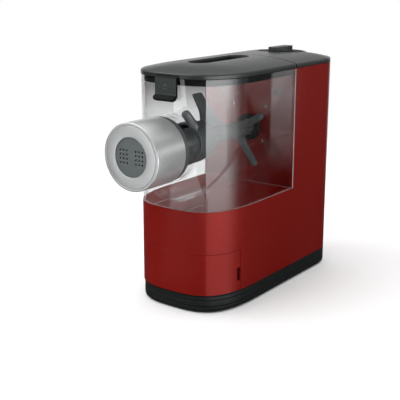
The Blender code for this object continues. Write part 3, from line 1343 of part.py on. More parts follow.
make_base()
make_housing()
make_cord_inlet()
make_drawer()
make_front()
make_ring()
make_mixer()
make_rear_cover()
make_knob()
make_controls()
make_gearbox()
make_motor(make_gears())
for part in PARTS.objects:
    if part.type == "MESH":
        smooth(part)
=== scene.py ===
"""Looks of a compact electric pasta maker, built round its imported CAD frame.

Metres, +Z up. The pasta comes out towards -Y, and the knob is on top at the back.
"""

from __future__ import annotations

import json
import logging
from dataclasses import dataclass
from enum import Enum
from math import asin, copysign, cos, degrees, pi, radians, sin, sqrt, tau
from typing import Any, Callable, Sequence

import bmesh
import bpy
from mathutils import Matrix, Vector


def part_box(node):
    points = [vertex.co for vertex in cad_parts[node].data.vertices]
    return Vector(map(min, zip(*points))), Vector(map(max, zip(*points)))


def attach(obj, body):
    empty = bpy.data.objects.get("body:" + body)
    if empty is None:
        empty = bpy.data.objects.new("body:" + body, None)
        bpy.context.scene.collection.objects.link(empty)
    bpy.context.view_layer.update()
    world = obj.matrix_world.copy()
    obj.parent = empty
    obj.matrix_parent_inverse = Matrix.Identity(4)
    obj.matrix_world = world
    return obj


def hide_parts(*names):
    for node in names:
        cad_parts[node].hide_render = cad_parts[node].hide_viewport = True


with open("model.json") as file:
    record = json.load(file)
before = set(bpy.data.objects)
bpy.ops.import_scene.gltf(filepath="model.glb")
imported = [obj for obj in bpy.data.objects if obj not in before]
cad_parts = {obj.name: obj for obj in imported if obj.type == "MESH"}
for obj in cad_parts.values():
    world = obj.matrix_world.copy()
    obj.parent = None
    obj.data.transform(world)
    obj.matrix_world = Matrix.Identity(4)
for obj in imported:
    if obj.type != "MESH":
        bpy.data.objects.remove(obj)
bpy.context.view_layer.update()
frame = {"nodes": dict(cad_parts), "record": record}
LOG = logging.getLogger("pasta_maker")

Outline = list[tuple[float, float]]
Ring = list[tuple[float, float, float]]
Colour = tuple[float, float, float]
Place = tuple[float, float, float]

MERGE = 0.000002
OVERRUN = 0.002


class Slot(Enum):
    """The record's material slots."""

    RED = "red_paint"
    CHARCOAL = "charcoal_plastic"
    BLACK = "black_plastic"
    SILVER = "silver_plastic"
    CLEAR = "clear_plastic"
    GREY = "grey_plastic"
    RUBBER = "rubber"
    STEEL = "steel"
    NYLON = "gear_nylon"
    BOARD = "circuit_board"


class Axis(Enum):
    """The machine direction that a flat outline is pulled along."""

    ACROSS = "X"
    DEPTH = "Y"
    UP = "Z"


class Merge(Enum):
    """How one solid changes another."""

    CUT = "DIFFERENCE"
    JOIN = "UNION"
    TRIM = "INTERSECT"


# Node trees


class Graph:
    """Short calls that add and join the nodes of one tree."""

    def __init__(self, tree: bpy.types.NodeTree) -> None:
        """Keeps the tree, emptied."""
        self.tree = tree
        self.tree.nodes.clear()

    def add(self, kind: str, inputs: dict[Any, Any] | None = None, **settings: Any) -> bpy.types.Node:
        """Adds a node.

        Args:
            kind: the node's Blender type name.
            inputs: values or sockets by input name or number.
            settings: properties of the node.

        Returns:
            The new node.
        """
        node = self.tree.nodes.new(kind)
        for name, value in settings.items():
            setattr(node, name, value)
        for key, value in (inputs or {}).items():
            if isinstance(value, bpy.types.NodeSocket):
                self.tree.links.new(value, node.inputs[key])
            else:
                node.inputs[key].default_value = value
        return node

    def math(self, operation: str, *values: Any) -> bpy.types.NodeSocket:
        """A Math node's result for one to three values or sockets."""
        return self.add("ShaderNodeMath", dict(enumerate(values)), operation=operation).outputs[0]

    def scaled(self, vector: bpy.types.NodeSocket, factor: bpy.types.NodeSocket) -> bpy.types.NodeSocket:
        """A vector times a number."""
        node = self.add("ShaderNodeVectorMath", {0: vector, "Scale": factor}, operation="SCALE")
        return node.outputs[0]

    def summed(self, *vectors: bpy.types.NodeSocket) -> bpy.types.NodeSocket:
        """The sum of several vectors."""
        total = vectors[0]
        for vector in vectors[1:]:
            total = self.add("ShaderNodeVectorMath", {0: total, 1: vector}).outputs[0]
        return total


class CopyTree:
    """Geometry Nodes that copy a shape in rows, so that one drawn unit makes them all."""

    def __init__(self) -> None:
        """Builds the tree with its named inputs."""
        self.tree = bpy.data.node_groups.new("copies_in_rows", "GeometryNodeTree")
        graph = Graph(self.tree)
        self.sockets: dict[str, str] = {}
        self._socket("Unit", "NodeSocketGeometry")
        self._socket("Count across", "NodeSocketInt")
        self._socket("Count up", "NodeSocketInt")
        self._socket("Step across", "NodeSocketVector")
        self._socket("Step up", "NodeSocketVector")
        self._socket("Finish", "NodeSocketMaterial")
        self.tree.interface.new_socket("Copies", in_out="OUTPUT", socket_type="NodeSocketGeometry")
        given = graph.add("NodeGroupInput").outputs
        index = graph.add("GeometryNodeInputIndex").outputs[0]
        count = graph.math("MULTIPLY", given["Count across"], given["Count up"])
        column = graph.math("MODULO", index, given["Count across"])
        row = graph.math("FLOOR", graph.math("DIVIDE", index, given["Count across"]))
        offsets = []
        for number, total, step in ((column, "Count across", "Step across"), (row, "Count up", "Step up")):
            middle = graph.math("DIVIDE", graph.math("SUBTRACT", given[total], 1.0), 2.0)
            offsets.append(graph.scaled(given[step], graph.math("SUBTRACT", number, middle)))
        points = graph.add("GeometryNodePoints", {"Count": count, "Position": graph.summed(*offsets)})
        copies = graph.add("GeometryNodeInstanceOnPoints",
                           {"Points": points.outputs[0], "Instance": given["Unit"]})
        real = graph.add("GeometryNodeRealizeInstances", {"Geometry": copies.outputs[0]})
        dressed = graph.add("GeometryNodeSetMaterial",
                            {"Geometry": real.outputs[0], "Material": given["Finish"]})
        graph.add("NodeGroupOutput", {0: dressed.outputs[0]})

    def _socket(self, name: str, kind: str) -> None:
        """Adds a named input and keeps its identifier."""
        socket = self.tree.interface.new_socket(name, in_out="INPUT", socket_type=kind)
        self.sockets[name] = socket.identifier

    def run(self, unit: bpy.types.Object, counts: tuple[int, int], across: Place, up: Place,
            finish: bpy.types.Material | None = None) -> bpy.types.Object:
        """Copies a unit in rows round its own place.

        Args:
            unit: the drawn unit, which becomes the copies.
            counts: how many stand across and how many up.
            across: the step from one copy to the next in a row.
            up: the step from one row to the next.
            finish: the material of the copies.

        Returns:
            The unit's object, whose mesh now holds all the copies.
        """
        modifier = unit.modifiers.new("rows", "NODES")
        modifier.node_group = self.tree
        modifier[self.sockets["Count across"]] = counts[0]
        modifier[self.sockets["Count up"]] = counts[1]
        modifier[self.sockets["Step across"]] = across
        modifier[self.sockets["Step up"]] = up
        modifier[self.sockets["Finish"]] = finish
        return baked(unit)


class FlightTree:
    """Geometry Nodes that bend a flat strip into a screw's flight and give it its thickness."""

    INPUTS = (("Turns", "NodeSocketFloat"), ("Pitch", "NodeSocketFloat"),
              ("Core radius", "NodeSocketFloat"), ("Outer radius", "NodeSocketFloat"),
              ("Thickness", "NodeSocketFloat"), ("Start", "NodeSocketVector"),
              ("Steps", "NodeSocketInt"), ("Finish", "NodeSocketMaterial"))

    def __init__(self) -> None:
        """Builds the tree with its named inputs."""
        self.tree = bpy.data.node_groups.new("screw_flight", "GeometryNodeTree")
        graph = Graph(self.tree)
        self.tree.interface.new_socket("Guide", in_out="INPUT", socket_type="NodeSocketGeometry")
        self.sockets = {name: self.tree.interface.new_socket(name, in_out="INPUT",
                                                             socket_type=kind).identifier
                        for name, kind in self.INPUTS}
        self.tree.interface.new_socket("Flight", in_out="OUTPUT", socket_type="NodeSocketGeometry")
        given = graph.add("NodeGroupInput").outputs
        strip = graph.add("GeometryNodeMeshGrid", {"Size X": 1.0, "Size Y": 1.0,
                                                   "Vertices X": given["Steps"], "Vertices Y": 6})
        spot = graph.add("ShaderNodeSeparateXYZ", {0: graph.add("GeometryNodeInputPosition").outputs[0]})
        along = graph.math("ADD", spot.outputs[0], 0.5)
        out = graph.math("ADD", spot.outputs[1], 0.5)
        turned = graph.math("MULTIPLY", along, given["Turns"])
        angle = graph.math("MULTIPLY", turned, tau)
        spread = graph.math("SUBTRACT", given["Outer radius"], given["Core radius"])
        radius = graph.math("MULTIPLY_ADD", spread, out, given["Core radius"])
        across = graph.math("MULTIPLY", radius, graph.math("COSINE", angle))
        up = graph.math("MULTIPLY", radius, graph.math("SINE", angle))
        back = graph.math("MULTIPLY", turned, given["Pitch"])
        bent = graph.add("ShaderNodeCombineXYZ", {0: across, 1: back, 2: up}).outputs[0]
        placed = graph.add("GeometryNodeSetPosition",
                           {"Geometry": strip.outputs[0], "Position": graph.summed(bent, given["Start"])})
        thick = graph.add("GeometryNodeExtrudeMesh", {"Mesh": placed.outputs[0],
                                                      "Offset Scale": given["Thickness"],
                                                      "Individual": False}, mode="FACES")
        under = graph.add("GeometryNodeFlipFaces", {0: placed.outputs[0]})
        both = graph.add("GeometryNodeJoinGeometry", {0: thick.outputs[0]})
        self.tree.links.new(under.outputs[0], both.inputs[0])
        whole = graph.add("GeometryNodeMergeByDistance", {"Geometry": both.outputs[0],
                                                          "Distance": MERGE})
        real = graph.add("GeometryNodeRealizeInstances", {"Geometry": whole.outputs[0]})
        dressed = graph.add("GeometryNodeSetMaterial",
                            {"Geometry": real.outputs[0], "Material": given["Finish"]})
        graph.add("NodeGroupOutput", {0: dressed.outputs[0]})

    def run(self, name: str, values: dict[str, Any]) -> bpy.types.Object:
        """Makes a flight.

        Args:
            name: the new object's name.
            values: a value for each named input.

        Returns:
            The flight as a plain closed mesh.
        """
        host = new_object(name, bpy.data.meshes.new(name))
        modifier = host.modifiers.new("flight", "NODES")
        modifier.node_group = self.tree
        for key, value in values.items():
            modifier[self.sockets[key]] = value
        return baked(host)


# Shapes


def new_object(name: str, mesh: bpy.types.Mesh) -> bpy.types.Object:
    """Puts a mesh in the scene under this name."""
    piece = bpy.data.objects.new(name, mesh)
    bpy.context.scene.collection.objects.link(piece)
    return piece


def object_from(name: str, bm: bmesh.types.BMesh, outward: bool = True) -> bpy.types.Object:
    """Makes an object of a bmesh.

    Args:
        name: the object's name.
        bm: the shape, which is freed.
        outward: whether its faces are first turned to point outwards.

    Returns:
        The new object.
    """
    if outward:
        bmesh.ops.recalc_face_normals(bm, faces=bm.faces)
    mesh = bpy.data.meshes.new(name)
    bm.to_mesh(mesh)
    bm.free()
    return new_object(name, mesh)


def baked(piece: bpy.types.Object) -> bpy.types.Object:
    """Gives an object the mesh that its modifiers make, and removes them."""
    bpy.context.view_layer.update()
    graph = bpy.context.evaluated_depsgraph_get()
    mesh = bpy.data.meshes.new_from_object(piece.evaluated_get(graph), preserve_all_data_layers=True,
                                           depsgraph=graph)
    piece.modifiers.clear()
    piece.data = mesh
    return piece


def combined(target: bpy.types.Object, how: Merge, *tools: bpy.types.Object) -> bpy.types.Object:
    """Changes a solid by others, which are used up.

    Args:
        target: the solid that stays.
        how: cut away, join or keep only what they share.
        tools: the other solids.

    Returns:
        The changed solid.
    """
    for tool in tools:
        modifier = target.modifiers.new(tool.name, "BOOLEAN")
        modifier.operation = how.value
        modifier.solver = "EXACT"
        modifier.object = tool
    baked(target)
    for tool in tools:
        bpy.data.objects.remove(tool, do_unlink=True)
    return target


def cleaned(piece: bpy.types.Object) -> bpy.types.Object:
    """Merges doubled points and dissolves the seams that cutting leaves on flat faces."""
    bm = bmesh.new()
    bm.from_mesh(piece.data)
    bmesh.ops.remove_doubles(bm, verts=bm.verts, dist=MERGE * 5)
    bmesh.ops.dissolve_degenerate(bm, edges=bm.edges, dist=MERGE)
    bmesh.ops.dissolve_limit(bm, angle_limit=radians(0.04), verts=bm.verts, edges=bm.edges)
    bm.to_mesh(piece.data)
    bm.free()
    return piece


def evened(piece: bpy.types.Object) -> bpy.types.Object:
    """Shades a piece smooth, with its large faces kept flat."""
    normals = piece.data.attributes.get("custom_normal")
    if normals:
        piece.data.attributes.remove(normals)
    piece.data.shade_smooth()
    weigh = piece.modifiers.new("even", "WEIGHTED_NORMAL")
    weigh.keep_sharp = True
    return baked(piece)


def softened(piece: bpy.types.Object, width: float, steps: int = 2,
             angle: float = 30.0) -> bpy.types.Object:
    """Rounds a hard-edged solid's edges as a mould does.

    Args:
        piece: the solid.
        width: how far the rounding reaches from an edge.
        steps: segments across the rounding.
        angle: the least angle in degrees that counts as an edge.

    Returns:
        The same object, rounded and smooth shaded.
    """
    cleaned(piece)
    bevel = piece.modifiers.new("round", "BEVEL")
    bevel.width = width
    bevel.segments = steps
    bevel.limit_method = "ANGLE"
    bevel.angle_limit = radians(angle)
    bevel.use_clamp_overlap = True
    bevel.miter_outer = "MITER_ARC"
    return evened(piece)


def smoothed(piece: bpy.types.Object, angle: float = 32.0) -> bpy.types.Object:
    """Shades a piece smooth, with its sharper edges kept."""
    piece.data.shade_smooth()
    piece.data.set_sharp_from_angle(angle=radians(angle))
    return piece


def prism(name: str, outline: Outline, low: float, high: float,
          axis: Axis = Axis.UP) -> bpy.types.Object:
    """Pulls a flat outline along an axis.

    Args:
        name: the object's name.
        outline: XY points for UP, XZ points for DEPTH and YZ points for ACROSS.
        low: where it starts on the axis.
        high: where it ends.
        axis: the direction.

    Returns:
        A closed solid.
    """
    def spot(point: tuple[float, float], along: float) -> Place:
        """A point of the outline at this place on the axis."""
        if axis is Axis.UP:
            return (point[0], point[1], along)
        if axis is Axis.DEPTH:
            return (point[0], along, point[1])
        return (along, point[0], point[1])

    return lofted(name, [[spot(point, along) for point in outline] for along in (low, high)])


def lofted(name: str, rings: Sequence[Sequence[Any]], around: bool = False) -> bpy.types.Object:
    """Faces between rings with equal counts of points.

    Args:
        name: the object's name.
        rings: the rings in order.
        around: whether the last ring joins the first, instead of a cap at both ends.

    Returns:
        A closed solid.
    """
    bm = bmesh.new()
    rows = [[bm.verts.new(point) for point in ring] for ring in rings]
    count = len(rows[0])
    pairs = list(zip(rows, rows[1:])) + ([(rows[-1], rows[0])] if around else [])
    for low, high in pairs:
        for index in range(count):
            after = (index + 1) % count
            bm.faces.new((low[index], low[after], high[after], high[index]))
    if not around:
        bm.faces.new(list(reversed(rows[0])))
        bm.faces.new(rows[-1])
    return object_from(name, bm)


def block(name: str, x: tuple[float, float], y: tuple[float, float],
          z: tuple[float, float]) -> bpy.types.Object:
    """A square-edged solid between these limits, mostly to cut with."""
    outline = [(x[0], y[0]), (x[1], y[0]), (x[1], y[1]), (x[0], y[1])]
    return prism(name, outline, *z)


def arc(centre: tuple[float, float], radius: float, start: float, end: float, steps: int) -> Outline:
    """Points on an arc between two angles in degrees, both ends included."""
    return [(centre[0] + radius * cos(radians(start + (end - start) * step / steps)),
             centre[1] + radius * sin(radians(start + (end - start) * step / steps)))
            for step in range(steps + 1)]


def circle(centre: tuple[float, float], radius: float, steps: int) -> Outline:
    """Points round a full circle."""
    return arc(centre, radius, 0, 360, steps)[:-1]


def stadium(half_width: float, low: float, high: float, steps: int = 16) -> Outline:
    """A slot along Y with round ends between two places."""
    return (arc((0, low + half_width), half_width, 180, 360, steps)
            + arc((0, high - half_width), half_width, 0, 180, steps))


def rounded_box(half_x: float, half_y: float, radius: float, centre: tuple[float, float] = (0, 0),
                steps: int = 6) -> Outline:
    """A rectangle with round corners."""
    x, y = half_x - radius, half_y - radius
    outline: Outline = []
    for sign_x, sign_y, start in ((1, -1, -90), (1, 1, 0), (-1, 1, 90), (-1, -1, 180)):
        middle = (centre[0] + sign_x * x, centre[1] + sign_y * y)
        outline += arc(middle, radius, start, start + 90, steps)
    return outline


def eased(profile: Sequence[tuple[float, float]], radius: float, steps: int = 3,
          closed: bool = True, least: float = 20.0) -> Outline:
    """Rounds the corners of a profile.

    Args:
        profile: its corners.
        radius: how far the rounding reaches along each side, where there is room.
        steps: segments in each corner.
        closed: whether the last corner joins the first.
        least: the least turn in degrees that is rounded.

    Returns:
        The rounded profile.
    """
    points = [Vector(point) for point in profile]
    result: Outline = []
    for index, corner in enumerate(points):
        if not closed and index in (0, len(points) - 1):
            result.append(tuple(corner))
            continue
        before = points[index - 1] - corner
        after = points[(index + 1) % len(points)] - corner
        reach = min(radius, before.length * 0.45, after.length * 0.45)
        turn = degrees(before.angle(-after, 0.0)) if before.length and after.length else 0.0
        if turn < least:
            result.append(tuple(corner))
            continue
        start = corner + before.normalized() * reach
        end = corner + after.normalized() * reach
        for step in range(steps + 1):
            share = step / steps
            result.append(tuple(start.lerp(corner, share).lerp(corner.lerp(end, share), share)))
    return result


def turned(name: str, profile: Sequence[tuple[float, float]], place: Matrix, steps: int = 96,
           closed: bool = True) -> bpy.types.Object:
    """Turns a profile round its own Z.

    Args:
        name: the object's name.
        profile: (radius, along) pairs.
        place: where its Z axis goes in the machine.
        steps: segments round the turn.
        closed: a closed profile makes a ring, an open one runs from axis to axis.

    Returns:
        A closed solid.
    """
    bm = bmesh.new()
    rows = []
    for radius, along in profile:
        count = 1 if radius < MERGE else steps
        rows.append([bm.verts.new(place @ Vector((radius * cos(tau * k / steps),
                                                  radius * sin(tau * k / steps), along)))
                     for k in range(count)])
    pairs = list(zip(rows, rows[1:])) + ([(rows[-1], rows[0])] if closed else [])
    for low, high in pairs:
        for index in range(steps):
            after = (index + 1) % steps
            corners = [low[index % len(low)], low[after % len(low)], high[after % len(high)],
                       high[index % len(high)]]
            unique = list(dict.fromkeys(corners))
            if len(unique) > 2:
                bm.faces.new(unique)
    return object_from(name, bm)


def drum(name: str, radius: float, low: float, high: float, place: Matrix,
         steps: int = 48) -> bpy.types.Object:
    """A round solid along its own Z, mostly to cut with."""
    return turned(name, [(0, low), (radius, low), (radius, high), (0, high)], place, steps, False)


@dataclass(frozen=True)
class BodyPlan:
    """The body's plan seen from above, its main heights and its fits.

    Attributes:
        half_width: half the body's width.
        front: y of the body's nose.
        rear: y of its back.
        base_top: height of the base.
        deck: height of the deck below the chamber.
        rim: height of the side walls, under lid and rear cover.
        axis: height of the drive axis.
        column: depth of the column's front wall.
    """

    half_width: float
    front: float
    rear: float
    base_top: float
    deck: float
    rim: float
    axis: float
    column: float
    bow_length: float = 0.0985
    bow_power: float = 3.17
    corner_radius: float = 0.0415
    seat_gap: float = 0.0003
    running_gap: float = 0.0006
    bow_steps: int = 36
    corner_steps: int = 16

    @classmethod
    def from_frame(cls) -> BodyPlan:
        """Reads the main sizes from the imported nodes."""
        shell_low, shell_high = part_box("housing_shell")
        base_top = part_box("base_tray")[1].z
        chamber_low, chamber_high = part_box("mixing_chamber")
        ring_low, ring_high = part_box("fixing_ring")
        return cls(half_width=shell_high.x, front=shell_low.y, rear=shell_high.y, base_top=base_top,
                   deck=chamber_low.z - cls.seat_gap, rim=shell_high.z,
                   axis=(ring_low.z + ring_high.z) / 2,
                   column=chamber_high.y + cls.seat_gap - shell_low.y)

    def at(self, distance: float) -> float:
        """The y of a place this far behind the body's nose."""
        return self.front + distance

    def along_drive(self, x: float = 0.0, z: float | None = None) -> Matrix:
        """Lays a shape's own Z along the depth, measured from the body's nose."""
        height = self.axis if z is None else z
        return Matrix.Translation((x, self.front, height)) @ Matrix.Rotation(-pi / 2, 4, "X")

    def bow(self, inset: float, setback: float = 0.0) -> Outline:
        """The curved front from its left side to its right side.

        Args:
            inset: how far inside the body's side it runs.
            setback: how much further back its nose is.

        Returns:
            The points, seen from above.
        """
        half = self.half_width - inset
        front = self.front + inset + setback
        length = self.bow_length - inset - setback
        points: Outline = []
        for step in range(-self.bow_steps, self.bow_steps + 1):
            angle = pi / 2 * step / self.bow_steps
            across = copysign(abs(sin(angle)) ** (2 / self.bow_power), step)
            along = abs(cos(angle)) ** (2 / self.bow_power) if abs(step) < self.bow_steps else 0.0
            points.append((half * across, front + length * (1 - along)))
        return points

    def arch(self, inset: float, back: float) -> Outline:
        """The bow closed by a straight edge at this depth."""
        half = self.half_width - inset
        return self.bow(inset) + [(half, self.at(back)), (-half, self.at(back))]

    def short_arch(self, inset: float, back: float) -> Outline:
        """The part of the bow ahead of a straight edge that crosses its curve or sides."""
        limit = self.at(back)
        ahead = [point for point in self.bow(inset) if point[1] < limit - MERGE * 50]
        length = self.bow_length - inset
        share = max(0.0, 1 - (limit - self.front - inset) / length)
        edge = (self.half_width - inset) * (1 - share ** self.bow_power) ** (1 / self.bow_power)
        return ahead + [(edge, limit), (-edge, limit)]

    def drawer_arch(self, inset: float, limit: float, back: float) -> Outline:
        """The bow as far as a depth, then straight sides back to a straight edge."""
        nose = self.short_arch(inset, limit)
        edge = nose[-2][0]
        return nose[:-1] + [(edge, self.at(back)), (-edge, self.at(back)), (-edge, self.at(limit))]

    def rear_corners(self, inset: float) -> Outline:
        """The two rear corners, from the right side round to the left."""
        radius = max(self.corner_radius - inset, self.seat_gap)
        reach = max(inset, self.corner_radius - self.seat_gap) if inset > self.corner_radius else 0.0
        middle = self.half_width - self.corner_radius
        back = self.rear - self.corner_radius
        if reach:
            middle = max(self.half_width - inset - self.seat_gap, self.seat_gap)
            back = self.rear - inset - self.seat_gap
        return (arc((middle, back), radius, 0, 90, self.corner_steps)
                + arc((-middle, back), radius, 90, 180, self.corner_steps))

    def body(self, inset: float, setback: float = 0.0) -> Outline:
        """The whole body's outline."""
        return self.bow(inset, setback) + self.rear_corners(inset)

    def column_plan(self, inset: float, front: float) -> Outline:
        """The column's outline, with a straight front at this depth."""
        half = self.half_width - inset
        return [(-half, self.at(front)), (half, self.at(front))] + self.rear_corners(inset)


def at_height(outline: Outline, height: float) -> Ring:
    """A flat outline at a height."""
    return [(x, y, height) for x, y in outline]


# Finishes


@dataclass(frozen=True)
class Finish:
    """An opaque surface with its grain, mottling and gloss.

    Attributes:
        name: the material's name.
        colour: linear colour.
        roughness: mean roughness.
        metallic: share of metal.
        coat: weight of the clear layer on top.
        coat_roughness: roughness of that layer.
        specular: strength of the plain reflection.
        grain: metres from grain to grain.
        relief: metres that the grain stands out.
        mottle: share by which the colour wanders.
        gloss_swing: how far the roughness wanders.
        spread: metres from patch to patch of the mottling.
    """

    name: str
    colour: Colour
    roughness: float = 0.45
    metallic: float = 0.0
    coat: float = 0.0
    coat_roughness: float = 0.12
    specular: float = 0.5
    grain: float = 0.0006
    relief: float = 0.00003
    mottle: float = 0.08
    gloss_swing: float = 0.05
    spread: float = 0.018

    def shade(self, share: float) -> tuple[float, float, float, float]:
        """The finish's colour made lighter or darker by a share."""
        return (*(min(1.0, part * (1 + share)) for part in self.colour), 1.0)

    def height(self, graph: Graph, place: bpy.types.NodeSocket) -> bpy.types.NodeSocket:
        """The grain's height.

        Args:
            graph: the material's nodes.
            place: where a point of the surface is.

        Returns:
            A socket from 0 to 1.
        """
        noise = graph.add("ShaderNodeTexNoise", {"Vector": place, "Scale": 1 / self.grain, "Detail": 2.0})
        return noise.outputs[0]

    def tint(self, graph: Graph, place: bpy.types.NodeSocket) -> bpy.types.NodeSocket:
        """The surface's colour at a place, with its mottling."""
        patch = graph.add("ShaderNodeTexNoise", {"Vector": place, "Scale": 1 / self.spread, "Detail": 4.0,
                                                 "Roughness": 0.65})
        mixed = graph.add("ShaderNodeMix", {0: patch.outputs[0], 6: self.shade(-self.mottle),
                                            7: self.shade(self.mottle)}, data_type="RGBA")
        return mixed.outputs[2]

    def build(self) -> bpy.types.Material:
        """Makes the material.

        Returns:
            The material, with its nodes.
        """
        material = bpy.data.materials.new(self.name)
        material.use_nodes = True
        graph = Graph(material.node_tree)
        place = graph.add("ShaderNodeTexCoord").outputs["Object"]
        patch = graph.add("ShaderNodeTexNoise", {"Vector": place, "Scale": 2.3 / self.spread,
                                                 "Detail": 5.0})
        rough = graph.add("ShaderNodeMapRange", {0: patch.outputs[0], 1: 0.3, 2: 0.7,
                                                 3: self.roughness - self.gloss_swing,
                                                 4: self.roughness + self.gloss_swing})
        bump = graph.add("ShaderNodeBump", {"Strength": 0.6, "Distance": self.relief,
                                            "Height": self.height(graph, place)})
        shader = graph.add("ShaderNodeBsdfPrincipled",
                           {"Base Color": self.tint(graph, place), "Metallic": self.metallic,
                            "Roughness": rough.outputs[0], "Normal": bump.outputs[0],
                            "Coat Weight": self.coat, "Coat Roughness": self.coat_roughness,
                            "Specular IOR Level": self.specular})
        graph.add("ShaderNodeOutputMaterial", {0: shader.outputs[0]})
        return material


@dataclass(frozen=True)
class PearlPaint(Finish):
    """Paint with fine flakes under a clear layer.

    Attributes:
        flake: metres across a flake.
        flake_share: how much lighter or darker a flake is.
    """

    flake: float = 0.00035
    flake_share: float = 0.5

    def tint(self, graph: Graph, place: bpy.types.NodeSocket) -> bpy.types.NodeSocket:
        """The paint's colour, with its flakes and soft clouding."""
        cells = graph.add("ShaderNodeTexVoronoi", {"Vector": place, "Scale": 1 / self.flake})
        spark = graph.add("ShaderNodeSeparateColor", {0: cells.outputs["Color"]}).outputs[0]
        flakes = graph.add("ShaderNodeMix", {0: spark, 6: self.shade(-self.flake_share),
                                             7: self.shade(self.flake_share)}, data_type="RGBA")
        cloud = super().tint(graph, place)
        mixed = graph.add("ShaderNodeMix", {0: 0.35, 6: cloud, 7: flakes.outputs[2]}, data_type="RGBA")
        return mixed.outputs[2]

    def height(self, graph: Graph, place: bpy.types.NodeSocket) -> bpy.types.NodeSocket:
        """The slow waves that sprayed paint dries in."""
        waves = graph.add("ShaderNodeTexNoise", {"Vector": place, "Scale": 1 / self.grain, "Detail": 1.0})
        return waves.outputs[0]


@dataclass(frozen=True)
class TurnedMetal(Finish):
    """Metal with the fine lines that turning or drawing leaves.

    Attributes:
        pull: how much longer than wide a scratch is.
    """

    pull: float = 30.0

    def height(self, graph: Graph, place: bpy.types.NodeSocket) -> bpy.types.NodeSocket:
        """Scratches drawn out along the machine's depth."""
        long = graph.add("ShaderNodeMapping", {"Vector": place, "Scale": (1.0, 1.0 / self.pull, 1.0)})
        lines = graph.add("ShaderNodeTexNoise", {"Vector": long.outputs[0], "Scale": 1 / self.grain,
                                                 "Detail": 3.0})
        return lines.outputs[0]


@dataclass(frozen=True)
class PrintedBoard(Finish):
    """A circuit board: lacquer with copper tracks under it.

    Attributes:
        track: metres from track to track.
        track_colour: linear colour over the copper.
    """

    track: float = 0.0042
    track_colour: Colour = (0.02, 0.22, 0.09)

    def tint(self, graph: Graph, place: bpy.types.NodeSocket) -> bpy.types.NodeSocket:
        """Lacquer, lighter over the tracks."""
        bricks = graph.add("ShaderNodeTexBrick", {"Vector": place, "Scale": 1 / self.track,
                                                  "Color1": self.shade(0.15), "Color2": self.shade(-0.15),
                                                  "Mortar": (*self.track_colour, 1.0),
                                                  "Mortar Size": 0.09})
        return bricks.outputs[0]


@dataclass(frozen=True)
class ClearFinish:
    """Clear moulded plastic: it lets light straight through and mirrors more at a flat angle.

    Attributes:
        name: the material's name.
        tint: colour that a pass through one face leaves.
        square_on: share that a face mirrors when it is seen square on.
        haze: share of light that one face turns back at any angle.
        roughness: of the mirrored light.
        body: colour of what it turns back.
        metallic: 1 for a clear mirror image, 0 for a milky face.
    """

    name: str
    tint: Colour = (0.962, 0.967, 0.967)
    square_on: float = 0.040
    haze: float = 0.0
    roughness: float = 0.02
    body: Colour = (0.95, 0.96, 0.97)
    metallic: float = 1.0

    def build(self) -> bpy.types.Material:
        """Makes the material.

        Returns:
            The material, with its nodes.
        """
        material = bpy.data.materials.new(self.name)
        material.use_nodes = True
        graph = Graph(material.node_tree)
        place = graph.add("ShaderNodeTexCoord").outputs["Object"]
        flow = graph.add("ShaderNodeTexNoise", {"Vector": place, "Scale": 16.0, "Detail": 1.0})
        bump = graph.add("ShaderNodeBump", {"Strength": 0.15, "Distance": 0.00005,
                                            "Height": flow.outputs[0]})
        smear = graph.add("ShaderNodeTexNoise", {"Vector": place, "Scale": 55.0, "Detail": 5.0})
        rough = graph.add("ShaderNodeMapRange", {0: smear.outputs[0], 1: 0.3, 2: 0.7,
                                                 3: self.roughness * 0.6, 4: self.roughness * 1.6})
        facing = graph.add("ShaderNodeLayerWeight", {"Blend": 0.5}).outputs["Facing"]
        least = self.square_on + self.haze
        share = graph.math("MULTIPLY_ADD", graph.math("POWER", facing, 5.0), 1 - least, least)
        through = graph.add("ShaderNodeBsdfTransparent", {0: (*self.tint, 1.0)})
        shader = graph.add("ShaderNodeBsdfPrincipled",
                           {"Base Color": (*self.body, 1.0), "Metallic": self.metallic,
                            "Roughness": rough.outputs[0], "Normal": bump.outputs[0]})
        mixed = graph.add("ShaderNodeMixShader", {0: share, 1: through.outputs[0],
                                                  2: shader.outputs[0]})
        graph.add("ShaderNodeOutputMaterial", {0: mixed.outputs[0]})
        return material


